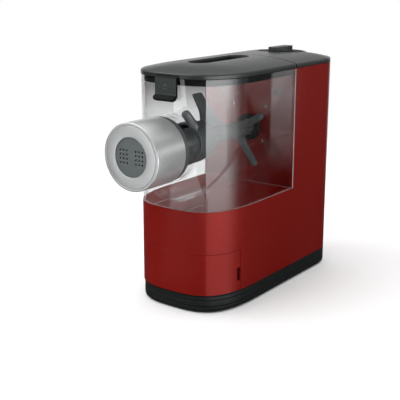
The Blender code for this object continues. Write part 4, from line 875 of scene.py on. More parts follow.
class Finishes:
    """All the object's materials, each built once."""

    def __init__(self) -> None:
        """Builds the finish of each slot, and the extra ones."""
        plans = {
            Slot.RED: PearlPaint("red_pearl_paint", (0.215, 0.0070, 0.0042), 0.38, 0.30, coat=0.18,
                                 coat_roughness=0.07, specular=0.1, grain=0.0035, relief=0.00001,
                                 mottle=0.05, gloss_swing=0.03, spread=0.05),
            Slot.CHARCOAL: Finish("charcoal_moulding", (0.0125, 0.0140, 0.0140), 0.34, specular=0.5,
                                  grain=0.00045, relief=0.00003, mottle=0.04, gloss_swing=0.02,
                                  spread=0.04),
            Slot.BLACK: Finish("black_moulding", (0.0085, 0.0105, 0.0105), 0.36, grain=0.00045,
                               relief=0.00003),
            Slot.SILVER: Finish("silver_satin", (0.52, 0.535, 0.535), 0.34, 0.72, grain=0.00035,
                                relief=0.00001, mottle=0.035, gloss_swing=0.03),
            Slot.GREY: Finish("grey_moulding", (0.095, 0.108, 0.110), 0.42, specular=0.35,
                              grain=0.0005, relief=0.00003),
            Slot.RUBBER: Finish("soft_rubber", (0.012, 0.012, 0.012), 0.82, specular=0.3,
                                grain=0.0008, relief=0.00006),
            Slot.STEEL: TurnedMetal("drawn_steel", (0.56, 0.57, 0.59), 0.28, 1.0, grain=0.0002,
                                    relief=0.000008, mottle=0.04),
            Slot.NYLON: Finish("gear_nylon", (0.68, 0.66, 0.57), 0.5, grain=0.0009, relief=0.00003,
                               mottle=0.04),
            Slot.BOARD: PrintedBoard("board_lacquer", (0.012, 0.11, 0.045), 0.35, grain=0.0006,
                                     relief=0.00002),
        }
        self.slots = {slot: plan.build() for slot, plan in plans.items()}
        self.slots[Slot.CLEAR] = ClearFinish("clear_moulding").build()
        # Painted light: the black tab's plate face, which looks to the front, gets this lighter grey where
        # the front light falls on it.
        self.latch_face_painted_light = Finish("latch_face_painted_light", (0.021, 0.027, 0.026), 0.42, specular=0.35,
                                 grain=0.00045, relief=0.00003).build()
        # Matt black for the gasket and the joints, and painted shade: the same darker black on the latch lip
        # and on the knob's skirt down in its dish.
        self.matt_black = Finish("matt_black_moulding", (0.0050, 0.0056, 0.0056), 0.55, specular=0.10,
                                 grain=0.00045, relief=0.00003).build()
        # Painted shade: the wall screws sit down in their holes, and this near-black steel stands in for the
        # shade there.
        self.screw_hole_painted_shade = TurnedMetal("screw_hole_painted_shade", (0.010, 0.010, 0.010), 0.45, 0.2, specular=0.2,
                                      grain=0.0003, relief=0.000008).build()
        self.latch_sign = Finish("latch_sign", (0.070, 0.085, 0.082), 0.45, grain=0.0005,
                                 relief=0.00002).build()
        # Painted light: a lighter grey on the scraper's faces that look to the front, where the front light
        # falls.
        self.scraper_painted_light = Finish("scraper_painted_light", (0.170, 0.180, 0.180), 0.40, specular=0.35,
                                   grain=0.0005, relief=0.00003).build()
        self.base_black = Finish("base_black", (0.0105, 0.0125, 0.0125), 0.45, specular=0.20,
                                 grain=0.00045, relief=0.00003).build()
        self.tube_grey = Finish("tube_grey", (0.058, 0.064, 0.065), 0.38, grain=0.0005,
                                relief=0.00003).build()
        # Painted highlight: milky white copies of the clear plastic for the bottom rim and, brighter, the
        # rear corner edges, where light catches in the clear edges.
        self.clear_rim_painted_highlight = ClearFinish("clear_moulding_rim", (0.90, 0.91, 0.91), haze=0.08,
                                     roughness=0.20, metallic=0.0).build()
        self.clear_edge_painted_highlight = ClearFinish("clear_moulding_edge", (0.90, 0.91, 0.91), haze=0.30,
                                      roughness=0.20, metallic=0.0).build()
        self.clear_quiet = ClearFinish("clear_moulding_quiet", square_on=0.008).build()

    def of(self, slot: Slot) -> bpy.types.Material:
        """The material of a slot."""
        return self.slots[slot]


# Sub-assemblies


@dataclass
class SubAssembly:
    """What every sub-assembly shares.

    Attributes:
        plan: the body's plan.
        finishes: the materials.
        copies: the tree that repeats a unit.
    """

    plan: BodyPlan
    finishes: Finishes
    copies: CopyTree

    def hand_in(self, piece: bpy.types.Object, body: str, slot: Slot, *nodes: str) -> bpy.types.Object:
        """Dresses a finished piece, puts it on its body and reports it.

        Args:
            piece: the finished mesh object.
            body: the CAD body that it moves with.
            slot: its material slot.
            nodes: the CAD nodes that it stands for.

        Returns:
            The same object.
        """
        if not piece.data.materials or piece.data.materials[0] is None:
            piece.data.materials.clear()
            piece.data.materials.append(self.finishes.of(slot))
        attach(piece, body)
        if nodes:
            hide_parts(*nodes)
        LOG.info("%s: %d faces on %s", piece.name, len(piece.data.polygons), body)
        return piece


@dataclass
class Base(SubAssembly):
    """The dark base with its two grooves, and the four foot pads."""

    nose_setback: float = 0.0016
    edge: float = 0.0040
    lower_groove: float = 0.0082
    upper_groove: float = 0.0154
    groove_width: float = 0.0009
    groove_depth: float = 0.0011
    neck_height: float = 0.0014
    wall: float = 0.0042
    floor: float = 0.0030
    foot_proud: float = 0.0015
    foot_radius: float = 0.0075
    foot_height: float = 0.0034
    foot_spread: float = 0.046
    foot_end_inset: float = 0.036

    def outer_profile(self) -> list[tuple[float, float]]:
        """(height, inset) pairs of the base's side, from the table up."""
        low = self.foot_proud
        profile = [(low + self.edge * (1 - cos(angle)) * 0.9, self.edge * (1 - sin(angle)) * 0.62)
                   for angle in (radians(90 * step / 6) for step in range(7))]
        for groove in (self.lower_groove, self.upper_groove):
            top = groove + self.groove_width
            profile += [(groove, 0.0), (groove, self.groove_depth), (top, self.groove_depth), (top, 0.0)]
        neck = self.plan.base_top - self.neck_height
        return profile + [(neck, 0.0), (neck, self.groove_depth), (self.plan.base_top, self.groove_depth)]

    def build(self) -> None:
        """Builds the base and its feet."""
        plan = self.plan
        base = lofted("base_shell", [at_height(plan.body(inset, self.nose_setback), height)
                                     for height, inset in self.outer_profile()])
        inside = prism("base_inside", plan.body(self.wall, self.nose_setback),
                       self.foot_proud + self.floor, plan.base_top + OVERRUN)
        rear = plan.rear - plan.front - self.foot_end_inset
        middle = (self.foot_end_inset + rear) / 2
        steps = ((self.foot_spread * 2, 0, 0), (0, rear - self.foot_end_inset, 0))
        centre = Matrix.Translation((0, plan.at(middle), 0))
        recess = drum("foot_recess", self.foot_radius + plan.seat_gap, -OVERRUN,
                      self.foot_height + plan.seat_gap, centre, 40)
        recess = self.copies.run(recess, (2, 2), *steps)
        combined(base, Merge.CUT, inside, recess)
        softened(base, 0.00022)
        base.data.materials.clear()
        base.data.materials.append(self.finishes.base_black)
        self.hand_in(base, "housing", Slot.CHARCOAL, "base_tray")

        radius, height = self.foot_radius, self.foot_height
        ridge = 0.00035
        profile = [(0.0, ridge)]
        for index in range(1, 6):
            at = radius * 0.85 * index / 5
            profile += [(at - ridge * 2, ridge), (at - ridge, 0.0), (at, 0.0), (at + ridge, ridge)]
        profile += [(radius - ridge * 1.2, ridge), (radius, ridge * 2.2), (radius, height - ridge),
                    (radius - ridge, height), (0.0, height)]
        pad = turned("foot_pads", profile, centre, 48, False)
        pads = self.copies.run(pad, (2, 2), *steps, self.finishes.of(Slot.RUBBER))
        self.hand_in(smoothed(pads), "housing", Slot.RUBBER, "foot_front_left", "foot_front_right",
                     "foot_rear_left", "foot_rear_right")


@dataclass
class Housing(SubAssembly):
    """The painted shell: lower body with its deck, and the column at the back."""

    lower_wall: float = 0.0025
    column_wall: float = 0.0030
    deck_thickness: float = 0.0026
    drawer_seam: float = 0.0715
    drawer_end: float = 0.0512
    seal_radius: float = 0.0167
    screw_radius: float = 0.0021
    switch_hole: tuple[float, float, float] = (0.0040, 0.040, 0.047)
    key_hole: tuple[float, float, float] = (0.0024, 0.0485, 0.0454)
    screw_places: tuple[tuple[float, float], ...] = ((0.024, 0.028), (0.020, -0.016))
    vent_count: int = 7
    vent_width: float = 0.034
    vent_height: float = 0.0026
    vent_pitch: float = 0.0070
    vent_bottom: float = 0.150
    inlet_height: float = 0.045
    inlet_radius: float = 0.0070
    wall_seam_height: float = 0.2328
    wall_seam_width: float = 0.0006
    wall_seam_depth: float = 0.0005
    edge: float = 0.00045

    def build(self) -> None:
        """Builds the shell."""
        plan = self.plan
        gap = plan.seat_gap
        bottom = plan.base_top + gap
        side = plan.half_width + OVERRUN
        front = plan.front - OVERRUN
        column = plan.at(plan.column)
        shell = prism("red_shell", plan.body(0.0), bottom, plan.rim)
        under_deck = plan.deck - self.deck_thickness
        cutters = [
            block("chamber_space", (-side, side), (front, column), (plan.deck, plan.rim + OVERRUN)),
            prism("lower_inside", plan.body(self.lower_wall), bottom - OVERRUN, under_deck),
            prism("column_inside", plan.column_plan(self.column_wall, plan.column + self.column_wall),
                  under_deck - OVERRUN, plan.rim + OVERRUN),
            block("drawer_space", (-side, side), (front, plan.at(self.drawer_end + gap)),
                  (bottom - OVERRUN, self.drawer_seam)),
            block("wall_seam", (-plan.half_width * 0.55, plan.half_width * 0.74),
                  (column - OVERRUN, column + self.wall_seam_depth),
                  (self.wall_seam_height, self.wall_seam_height + self.wall_seam_width)),
        ]
        drill = (plan.column - OVERRUN, plan.column + self.column_wall + OVERRUN)
        cutters.append(drum("seal_hole", self.seal_radius + gap, *drill, plan.along_drive(), 72))
        holes = [(self.screw_radius, x, up) for x, up in self.screw_places]
        for index, (radius, x, up) in enumerate(holes + [self.switch_hole, self.key_hole]):
            hole = drum(f"wall_holes_{index}", radius, *drill, plan.along_drive(0, plan.axis + up), 28)
            cutters.append(self.copies.run(hole, (2, 1), (x * 2, 0, 0), (0, 0, 0)))
        middle = self.vent_bottom + self.vent_height / 2 + self.vent_pitch * (self.vent_count - 1) / 2
        slot = prism("vents", rounded_box(self.vent_width / 2, self.vent_height / 2,
                                          self.vent_height * 0.49, (0, middle), 5),
                     plan.rear - self.column_wall - OVERRUN, plan.rear + OVERRUN, Axis.DEPTH)
        cutters.append(self.copies.run(slot, (1, self.vent_count), (0, 0, 0), (0, 0, self.vent_pitch)))
        length = plan.rear - plan.front
        cutters.append(drum("inlet_hole", self.inlet_radius + gap, length - self.column_wall - OVERRUN,
                            length + OVERRUN, plan.along_drive(0, self.inlet_height), 40))
        combined(shell, Merge.CUT, *cutters)
        self.hand_in(softened(shell, self.edge), "housing", Slot.RED, "housing_shell")


@dataclass
class Drawer(SubAssembly):
    """The red front that wraps round the nose, and the box behind it."""

    seam: float = 0.0715
    panel_end: float = 0.0512
    panel_wall: float = 0.0026
    slot_low: float = 0.034
    slot_high: float = 0.050
    slot_depth: float = 0.0050
    guide_wall: float = 0.0018
    lower_wall: float = 0.0025
    tray_wall: float = 0.0018
    tray_floor: float = 0.0020
    tray_end: float = 0.1117
    tray_top: float = 0.060
    pocket_wall: float = 0.0016
    pocket_height: float = 0.008
    pocket_places: tuple[tuple[float, float], ...] = ((-0.02854, 0.064), (0.02854, 0.08044))
    disc_radius: float = 0.0286

    def build(self) -> None:
        """Builds the panel and the box."""
        plan = self.plan
        gap = plan.seat_gap
        low = plan.base_top + gap
        side = plan.half_width + OVERRUN
        panel = prism("drawer_panel", plan.short_arch(0.0, self.panel_end), low, self.seam - gap)
        inside = prism("panel_inside", plan.short_arch(self.panel_wall, self.panel_end + OVERRUN),
                       low - OVERRUN, self.seam + OVERRUN)
        slots = block("finger_slots", (-side, side),
                      (plan.at(self.panel_end - self.slot_depth), plan.at(self.panel_end) + OVERRUN),
                      (self.slot_low, self.slot_high))
        combined(panel, Merge.CUT, inside, slots)
        self.hand_in(softened(panel, 0.00045), "drawer", Slot.RED, "drawer_front")

        tray_low = plan.base_top + plan.running_gap
        inset = max(self.lower_wall + gap + self.guide_wall + plan.running_gap, self.panel_wall + gap)
        tray = prism("drawer_box", plan.drawer_arch(inset, self.panel_end, self.tray_end), tray_low,
                     self.tray_top)
        well = prism("box_inside", plan.drawer_arch(inset + self.tray_wall, self.panel_end,
                                                    self.tray_end - self.tray_wall),
                     tray_low + self.tray_floor, self.tray_top + OVERRUN)
        combined(tray, Merge.CUT, well)
        pocket_low = tray_low + self.tray_floor - gap
        bore = self.disc_radius + gap
        profile = [(bore, pocket_low), (bore + self.pocket_wall, pocket_low),
                   (bore + self.pocket_wall, pocket_low + self.pocket_height),
                   (bore, pocket_low + self.pocket_height)]
        for index, (across, along) in enumerate(self.pocket_places):
            place = Matrix.Translation((across, plan.at(along), 0))
            combined(tray, Merge.JOIN, turned(f"pocket_{index}", profile, place, 64))
        self.hand_in(softened(tray, 0.0003), "drawer", Slot.CHARCOAL, "drawer_tray")


@dataclass
class Chamber(SubAssembly):
    """The clear mixing chamber: outer wall, rear wall, trough, neck and ribs."""

    wall: float = 0.0022
    trough_radius: float = 0.0625
    neck_radius: float = 0.0384
    neck_front: float = -0.0080
    neck_depth: float = 0.0070
    seal_radius: float = 0.0174
    tube_radius: float = 0.0252
    rib_spread: float = 0.0240
    rib_thickness: float = 0.0018
    rib_end: float = 0.034
    edge: float = 0.0005
    seal_bottom: float = 0.2625

    def trough_outline(self) -> Outline:
        """Section of the trough, in XZ, with ledges that meet the side walls."""
        plan = self.plan
        reach = plan.half_width + OVERRUN
        under = plan.axis - self.wall
        low_angle = degrees(asin(self.wall / self.trough_radius))
        inside = arc((0, plan.axis), self.trough_radius - self.wall, 180, 360, 71)
        outside = arc((0, plan.axis), self.trough_radius, 360 - low_angle, 180 + low_angle, 71)
        return inside + [(reach, plan.axis), (reach, under)] + outside + [(-reach, under),
                                                                          (-reach, plan.axis)]

    def build(self) -> None:
        """Builds the chamber, with a painted highlight of milky white on the faces along its rims."""
        plan = self.plan
        gap = plan.seat_gap
        low, top = plan.deck + gap, plan.rim - gap
        back = plan.column - gap
        chamber = prism("clear_chamber", plan.arch(gap, back), low, top)
        inside = prism("chamber_inside", plan.arch(gap + self.wall, back - self.wall), low - OVERRUN,
                       top + OVERRUN)
        combined(chamber, Merge.CUT, inside)
        middle = back - self.wall / 2
        trough = prism("trough", self.trough_outline(), plan.front - OVERRUN, plan.at(middle) + OVERRUN,
                       Axis.DEPTH)
        limit = prism("trough_limit", plan.arch(gap + self.wall / 2, middle), low + self.wall,
                      plan.axis + self.wall)
        combined(trough, Merge.TRIM, limit)
        rib_top = plan.axis - sqrt(self.trough_radius ** 2 - self.rib_spread ** 2) + self.wall / 2
        half = self.rib_thickness / 2
        rib = block("ribs", (-half, half), (plan.at(self.wall), plan.at(self.rib_end)),
                    (low + gap, rib_top))
        ribs = self.copies.run(rib, (2, 1), (self.rib_spread * 2, 0, 0), (0, 0, 0))
        neck = drum("neck", self.neck_radius, self.neck_front, self.neck_depth, plan.along_drive(), 96)
        combined(chamber, Merge.JOIN, trough, ribs, neck)
        bore = drum("neck_bore", self.tube_radius + plan.running_gap, self.neck_front - OVERRUN,
                    self.neck_depth + OVERRUN, plan.along_drive(), 80)
        opening = drum("seal_opening", self.seal_radius, back - self.wall - OVERRUN, back + OVERRUN,
                       plan.along_drive(), 72)
        inner, outer = self.tube_radius + plan.running_gap + self.wall, self.neck_radius - self.wall
        relief = turned("neck_relief", [(inner, self.neck_front - OVERRUN),
                                        (outer, self.neck_front - OVERRUN),
                                        (outer, self.neck_depth - self.wall),
                                        (inner, self.neck_depth - self.wall)], plan.along_drive(), 80)
        combined(chamber, Merge.CUT, bore, opening, relief)
        softened(chamber, self.edge)
        self.mark_rims(chamber, low, back)
        self.hand_in(chamber, "chamber", Slot.CLEAR, "mixing_chamber")

    def mark_rims(self, chamber: bpy.types.Object, low: float, back: float) -> None:
        """Gives the cut faces of the walls a milky white as a painted highlight, brighter at the rear
        corners, and the rear wall a quieter one.

        Args:
            chamber: the chamber.
            low: height of the bottom rim.
            back: depth of the rear wall's back.
        """
        mesh = chamber.data
        bm = bmesh.new()
        bm.from_mesh(mesh)
        rear = self.plan.at(back)
        for spot, normal in (((0, 0, self.seal_bottom), (0, 0, 1)), ((0, rear - self.wall, 0), (0, 1, 0))):
            bmesh.ops.bisect_plane(bm, geom=[*bm.verts, *bm.edges, *bm.faces], plane_co=spot,
                                   plane_no=normal)
        bm.to_mesh(mesh)
        bm.free()
        evened(chamber)
        mesh = chamber.data
        mesh.materials.clear()
        mesh.materials.append(self.finishes.of(Slot.CLEAR))
        mesh.materials.append(self.finishes.clear_rim_painted_highlight)
        mesh.materials.append(self.finishes.clear_quiet)
        mesh.materials.append(self.finishes.clear_edge_painted_highlight)
        reach = self.edge * 1.1
        corner = self.plan.half_width - self.plan.seat_gap
        for face in mesh.polygons:
            middle = face.center
            on_rim = middle.z < low + reach
            on_corner = abs(middle.x) > corner - reach and middle.y > rear - self.wall
            on_rear = middle.y > rear - self.wall - reach and abs(face.normal.y) > 0.9
            inward = Vector((middle.x, middle.y - self.plan.at(self.plan.half_width), 0)).dot(face.normal) < 0
            on_seal = inward and middle.z > self.seal_bottom
            radius = sqrt(middle.x ** 2 + (middle.z - self.plan.axis) ** 2)
            on_trough = abs(face.normal.y) < 0.1 and radius < self.trough_radius + reach
            quiet = on_rear or on_seal or on_trough
            # Painted highlight: the rear corner faces and the bottom rim get the milky white copies; the rear
            # wall, the seal band and the trough get the copy that mirrors less.
            face.material_index = 3 if on_corner else 1 if on_rim else 2 if quiet else 0


@dataclass
class Extruder(SubAssembly):
    """The tube with its collar, the silver ring and the shaping disc."""

    reach: float = 0.0636
    ring_radius: float = 0.0376
    ring_length: float = 0.0476
    ring_edge: float = 0.0012
    ring_lip: float = 0.0062
    ring_bore: float = 0.0305
    face_groove: float = 0.0345
    face_groove_width: float = 0.0007
    tube_bore: float = 0.0230
    tube_radius: float = 0.0252
    tube_head: float = 0.0300
    collar_radius: float = 0.0368
    collar_length: float = 0.0074
    tube_end: float = 0.0262
    inlet_start: float = 0.0085
    inlet_width: float = 0.026
    disc_radius: float = 0.0286
    boss_radius: float = 0.0216
    disc_flange: float = 0.0075
    disc_thickness: float = 0.0130
    hole_radius: float = 0.0011
    hole_rows: int = 3
    holes_in_row: int = 4
    hole_pitch: float = 0.0046
    hole_start: float = 0.0062

    def build(self) -> None:
        """Builds the three pieces."""
        self.build_ring()
        self.build_tube()
        self.build_disc()

    def build_ring(self) -> None:
        """The silver ring, with a fine groove in its face."""
        front = -self.reach
        back = front + self.ring_length
        lip = front + self.ring_lip
        opening = self.boss_radius + self.plan.seat_gap
        groove, width = self.face_groove, self.face_groove_width
        profile = [(opening, front), (groove - width / 2, front), (groove - width / 2, front + width),
                   (groove + width / 2, front + width), (groove + width / 2, front),
                   (self.ring_radius, front), (self.ring_radius, back), (self.ring_bore, back),
                   (self.ring_bore, lip), (opening, lip)]
        rounded = []
        for index, corner in enumerate(profile):
            near = [profile[index - 1], corner, profile[(index + 1) % len(profile)]]
            size = self.ring_edge if corner == (self.ring_radius, front) else self.ring_edge / 4
            rounded += eased(near, size, 5, closed=False)[1:-1]
        ring = turned("fixing_ring_shell", rounded, self.plan.along_drive(), 128)
        self.hand_in(smoothed(ring, 40), "ring", Slot.SILVER, "fixing_ring")

    def build_tube(self) -> None:
        """The dark tube and its collar."""
        gap = self.plan.seat_gap
        head = -self.reach + self.ring_lip + gap + self.disc_flange + gap
        collar = -self.reach + self.ring_length + gap
        profile = [(self.tube_bore, head), (self.tube_head, head), (self.tube_head, collar),
                   (self.collar_radius, collar), (self.collar_radius, collar + self.collar_length),
                   (self.tube_radius, collar + self.collar_length), (self.tube_radius, self.tube_end),
                   (self.tube_bore, self.tube_end)]
        tube = turned("press_tube", eased(profile, 0.0005), self.plan.along_drive(), 96)
        half = self.inlet_width / 2
        inlet = block("tube_inlet", (-half, half), (self.plan.at(self.inlet_start),
                                                    self.plan.at(self.tube_end) + OVERRUN),
                      (self.plan.axis, self.plan.axis + self.tube_radius + OVERRUN))
        combined(tube, Merge.CUT, inlet)
        tube.data.materials.clear()
        tube.data.materials.append(self.finishes.tube_grey)
        self.hand_in(smoothed(tube), "chamber", Slot.CHARCOAL, "extrusion_tube")

    def build_disc(self) -> None:
        """The shaping disc, whose holes open in small funnels."""
        plan = self.plan
        back = -self.reach + self.ring_lip + plan.seat_gap + self.disc_flange
        place = plan.along_drive() @ Matrix.Translation((0, 0, back))
        profile = [(0.0, -self.disc_thickness), (self.boss_radius, -self.disc_thickness),
                   (self.boss_radius, -self.disc_flange), (self.disc_radius, -self.disc_flange),
                   (self.disc_radius, 0.0), (0.0, 0.0)]
        disc = turned("strand_disc", eased(profile, 0.0005, closed=False), place, 96, False)
        radius = self.hole_radius
        funnel = [(0.0, -self.disc_thickness - OVERRUN), (radius * 1.35, -self.disc_thickness - OVERRUN),
                  (radius * 1.35, -self.disc_thickness), (radius, -self.disc_thickness + radius / 2),
                  (radius, -self.disc_flange), (radius * 1.7, OVERRUN), (0.0, OVERRUN)]
        step = self.hole_pitch
        spread = self.hole_start * 2 + step * (self.hole_rows - 1)
        hole = turned("strand_holes", funnel, place, 16, False)
        group = self.copies.run(hole, (self.hole_rows, self.holes_in_row), (step, 0, 0), (0, 0, step))
        both = self.copies.run(group, (2, 1), (spread, 0, 0), (0, 0, 0))
        combined(disc, Merge.CUT, both)
        self.hand_in(smoothed(disc), "chamber", Slot.GREY, "spaghetti_disc")


@dataclass
class Mixer(SubAssembly):
    """The mixing paddle and the screw that presses the dough out."""

    bell_radius: float = 0.0245
    shoulder_radius: float = 0.0215
    bell_wall: float = 0.0030
    bell_front: float = 0.0300
    shoulder: float = 0.0640
    bell_back: float = 0.0790
    boss_radius: float = 0.0094
    shaft_radius: float = 0.0097
    shaft_end: float = 0.1572
    socket_depth: float = 0.0140
    dog_radius: float = 0.0064
    fin_thickness: float = 0.0034
    fin_shape: tuple[tuple[float, float], ...] = (
        (0.1130, 0.0080), (0.1027, 0.0148), (0.0840, 0.0306), (0.0699, 0.0454), (0.0622, 0.0552),
        (0.0458, 0.0548), (0.0530, 0.0440), (0.0600, 0.0330), (0.0625, 0.0190), (0.0760, 0.0080))
    limb_root: tuple[float, float] = (0.0060, 0.0046)
    limb_tip: tuple[float, float] = (0.0046, 0.0042)
    limb_right: tuple[float, ...] = (29.5, 0.0080, 0.134, 0.0470, 0.131)
    limb_lower: tuple[float, ...] = (-52.0, 0.0050, 0.136, 0.0520, 0.132)
    scraper_root: tuple[float, ...] = (53.5, 0.0225, 0.0345)
    scraper_tip: tuple[float, ...] = (83.0, 0.0392, 0.0232)
    scraper_size: tuple[float, float] = (0.0042, 0.0058)
    spine_root: Place = (0.0030, 0.1000, 0.0064)
    spine_tip: Place = (0.0165, 0.0375, 0.0088)
    spine_size: tuple[float, float] = (0.0038, 0.0050)
    screw_radius: float = 0.0224
    screw_core: float = 0.0085
    screw_tip: float = 0.0045
    screw_tail: float = 0.0057
    screw_pitch: float = 0.0225
    flight_thickness: float = 0.0034
    screw_front: float = -0.0490
    flight_end: float = 0.0250
    screw_end: float = 0.098
    voxel: float = 0.00075

    def polar(self, angle: float, radius: float, along: float) -> Vector:
        """A point round the drive axis, from an angle in degrees, a radius and a depth."""
        return Vector((radius * cos(radians(angle)), self.plan.at(along),
                       self.plan.axis + radius * sin(radians(angle))))

    def limb(self, name: str, root: Vector, tip: Vector, root_size: tuple[float, float],
             tip_size: tuple[float, float]) -> bpy.types.Object:
        """A tapered arm with a rounded end.

        Args:
            name: the object's name.
            root: its middle where it starts.
            tip: its middle where it ends.
            root_size: half its width and half its thickness at the root.
            tip_size: the same at the tip.

        Returns:
            A closed solid.
        """
        direction = (tip - root).normalized()
        wide = (Vector((0, 1, 0)) - direction * direction.y).normalized()
        thick = direction.cross(wide)
        length = (tip - root).length
        rings = []
        shares = [0.0, 0.3, 0.6] + [1 - (1 - sin(radians(a))) * 0.9 * tip_size[0] / length
                                    for a in (0, 25, 45, 60, 72, 82)]
        scales = [1.0, 1.0, 1.0] + [max(0.25, cos(radians(a))) for a in (0, 25, 45, 60, 72, 82)]
        for share, scale in zip(shares, scales):
            centre = root.lerp(tip, share)
            half_width = (root_size[0] + (tip_size[0] - root_size[0]) * share) * scale
            half_depth = (root_size[1] + (tip_size[1] - root_size[1]) * share) * scale
            rings.append([centre + wide * half_width * cos(tau * k / 28)
                          + thick * half_depth * sin(tau * k / 28) for k in range(28)])
        return lofted(name, rings)

    def build_paddle(self) -> None:
        """Bell, shaft, fin, scraper and two limbs, in one moulding with soft inner corners."""
        plan = self.plan
        bore = self.screw_tail + plan.seat_gap
        inside = self.shoulder - self.bell_wall
        boss = self.bell_front + self.bell_wall
        end = self.screw_end + plan.seat_gap
        profile = [(bore, boss), (self.boss_radius, boss), (self.boss_radius, inside),
                   (self.shoulder_radius - self.bell_wall, inside),
                   (self.bell_radius - self.bell_wall, self.bell_front),
                   (self.bell_radius, self.bell_front),
                   (self.bell_radius, (self.bell_front + self.shoulder) / 2),
                   (self.shoulder_radius, self.shoulder),
                   ((self.shoulder_radius * 2 + self.shaft_radius) / 3, (self.shoulder + self.bell_back) / 2),
                   (self.shaft_radius, self.bell_back), (self.shaft_radius, self.shaft_end),
                   (0.0, self.shaft_end), (0.0, end), (bore, end)]
        rounded = eased(profile[:11], 0.003, 6, False, 8.0)[:-1]
        paddle = turned("paddle", rounded + profile[10:], plan.along_drive(), 96, True)
        half = self.fin_thickness / 2
        fin = prism("fin", eased([(plan.at(along), plan.axis + up) for along, up in self.fin_shape],
                                 0.003, 5), -half, half, Axis.ACROSS)
        softened(fin, 0.0016, 4, 50)
        tools = [fin]
        for name, (angle, root, root_depth, tip, tip_depth) in (("limb_right", self.limb_right),
                                                                 ("limb_lower", self.limb_lower)):
            tools.append(self.limb(name, self.polar(angle, root, root_depth),
                                   self.polar(angle, tip, tip_depth), self.limb_root, self.limb_tip))
        tools.append(self.limb("scraper", self.polar(*self.scraper_root), self.polar(*self.scraper_tip),
                               self.scraper_size, self.scraper_size))
        spine = [Vector((x, plan.at(along), plan.axis + up)) for x, along, up in (self.spine_root,
                                                                                   self.spine_tip)]
        tools.append(self.limb("spine", *spine, self.spine_size, self.spine_size))
        combined(paddle, Merge.JOIN, *tools)
        socket = prism("socket", circle((0, plan.axis), self.dog_radius + plan.seat_gap, 6),
                       plan.at(self.shaft_end - self.socket_depth), plan.at(self.shaft_end) + OVERRUN,
                       Axis.DEPTH)
        combined(paddle, Merge.CUT, socket)
        remesh = paddle.modifiers.new("even", "REMESH")
        remesh.mode = "VOXEL"
        remesh.voxel_size = self.voxel
        soften = paddle.modifiers.new("soften", "SMOOTH")
        soften.factor = 0.5
        soften.iterations = 5
        fewer = paddle.modifiers.new("fewer", "DECIMATE")
        fewer.ratio = 0.45
        baked(paddle)
        self.paint_scraper_light(paddle)
        self.hand_in(smoothed(paddle, 60), "mixer", Slot.GREY, "mixing_paddle")

    def paint_scraper_light(self, paddle: bpy.types.Object) -> None:
        """Gives the scraper's faces that look to the front a lighter grey, as painted light from the front
        lamp.
        """
        mesh = paddle.data
        mesh.materials.clear()
        mesh.materials.append(self.finishes.of(Slot.GREY))
        mesh.materials.append(self.finishes.scraper_painted_light)
        root, tip = self.polar(*self.scraper_root), self.polar(*self.scraper_tip)
        length = (tip - root).length
        along = (tip - root) / length
        for face in mesh.polygons:
            offset = face.center - root
            share = offset.dot(along) / length
            aside = (offset - along * offset.dot(along)).length
            near = -0.1 < share < 1.1 and aside < self.scraper_size[1] * 1.15
            facing = face.normal.y < -0.3
            face.material_index = 1 if near and facing else 0

    def build_screw(self) -> None:
        """The screw: a tapered core, and a flight that the node tree bends round it."""
        plan = self.plan
        tip = self.screw_front
        profile = [(0.0, tip), (self.screw_tip, tip), (self.screw_core, tip + self.screw_pitch / 2),
                   (self.screw_core, self.bell_front), (self.screw_tail, self.bell_front),
                   (self.screw_tail, self.screw_end), (0.0, self.screw_end)]
        core = turned("press_screw", eased(profile, 0.0006, closed=False), plan.along_drive(), 64, False)
        start = tip + self.flight_thickness / 2
        turns = (self.flight_end - start - self.flight_thickness / 2) / self.screw_pitch
        flight = FlightTree().run("flight", {
            "Turns": turns, "Pitch": self.screw_pitch, "Core radius": self.screw_tip * 0.8,
            "Outer radius": self.screw_radius, "Thickness": self.flight_thickness * 0.8,
            "Start": (0, plan.at(start), plan.axis), "Steps": int(turns * 48),
            "Finish": self.finishes.of(Slot.STEEL)})
        combined(core, Merge.JOIN, flight)
        self.hand_in(smoothed(core), "mixer", Slot.STEEL, "auger_screw")

    def build(self) -> None:
        """Builds the two pieces."""
        self.build_screw()
        self.build_paddle()


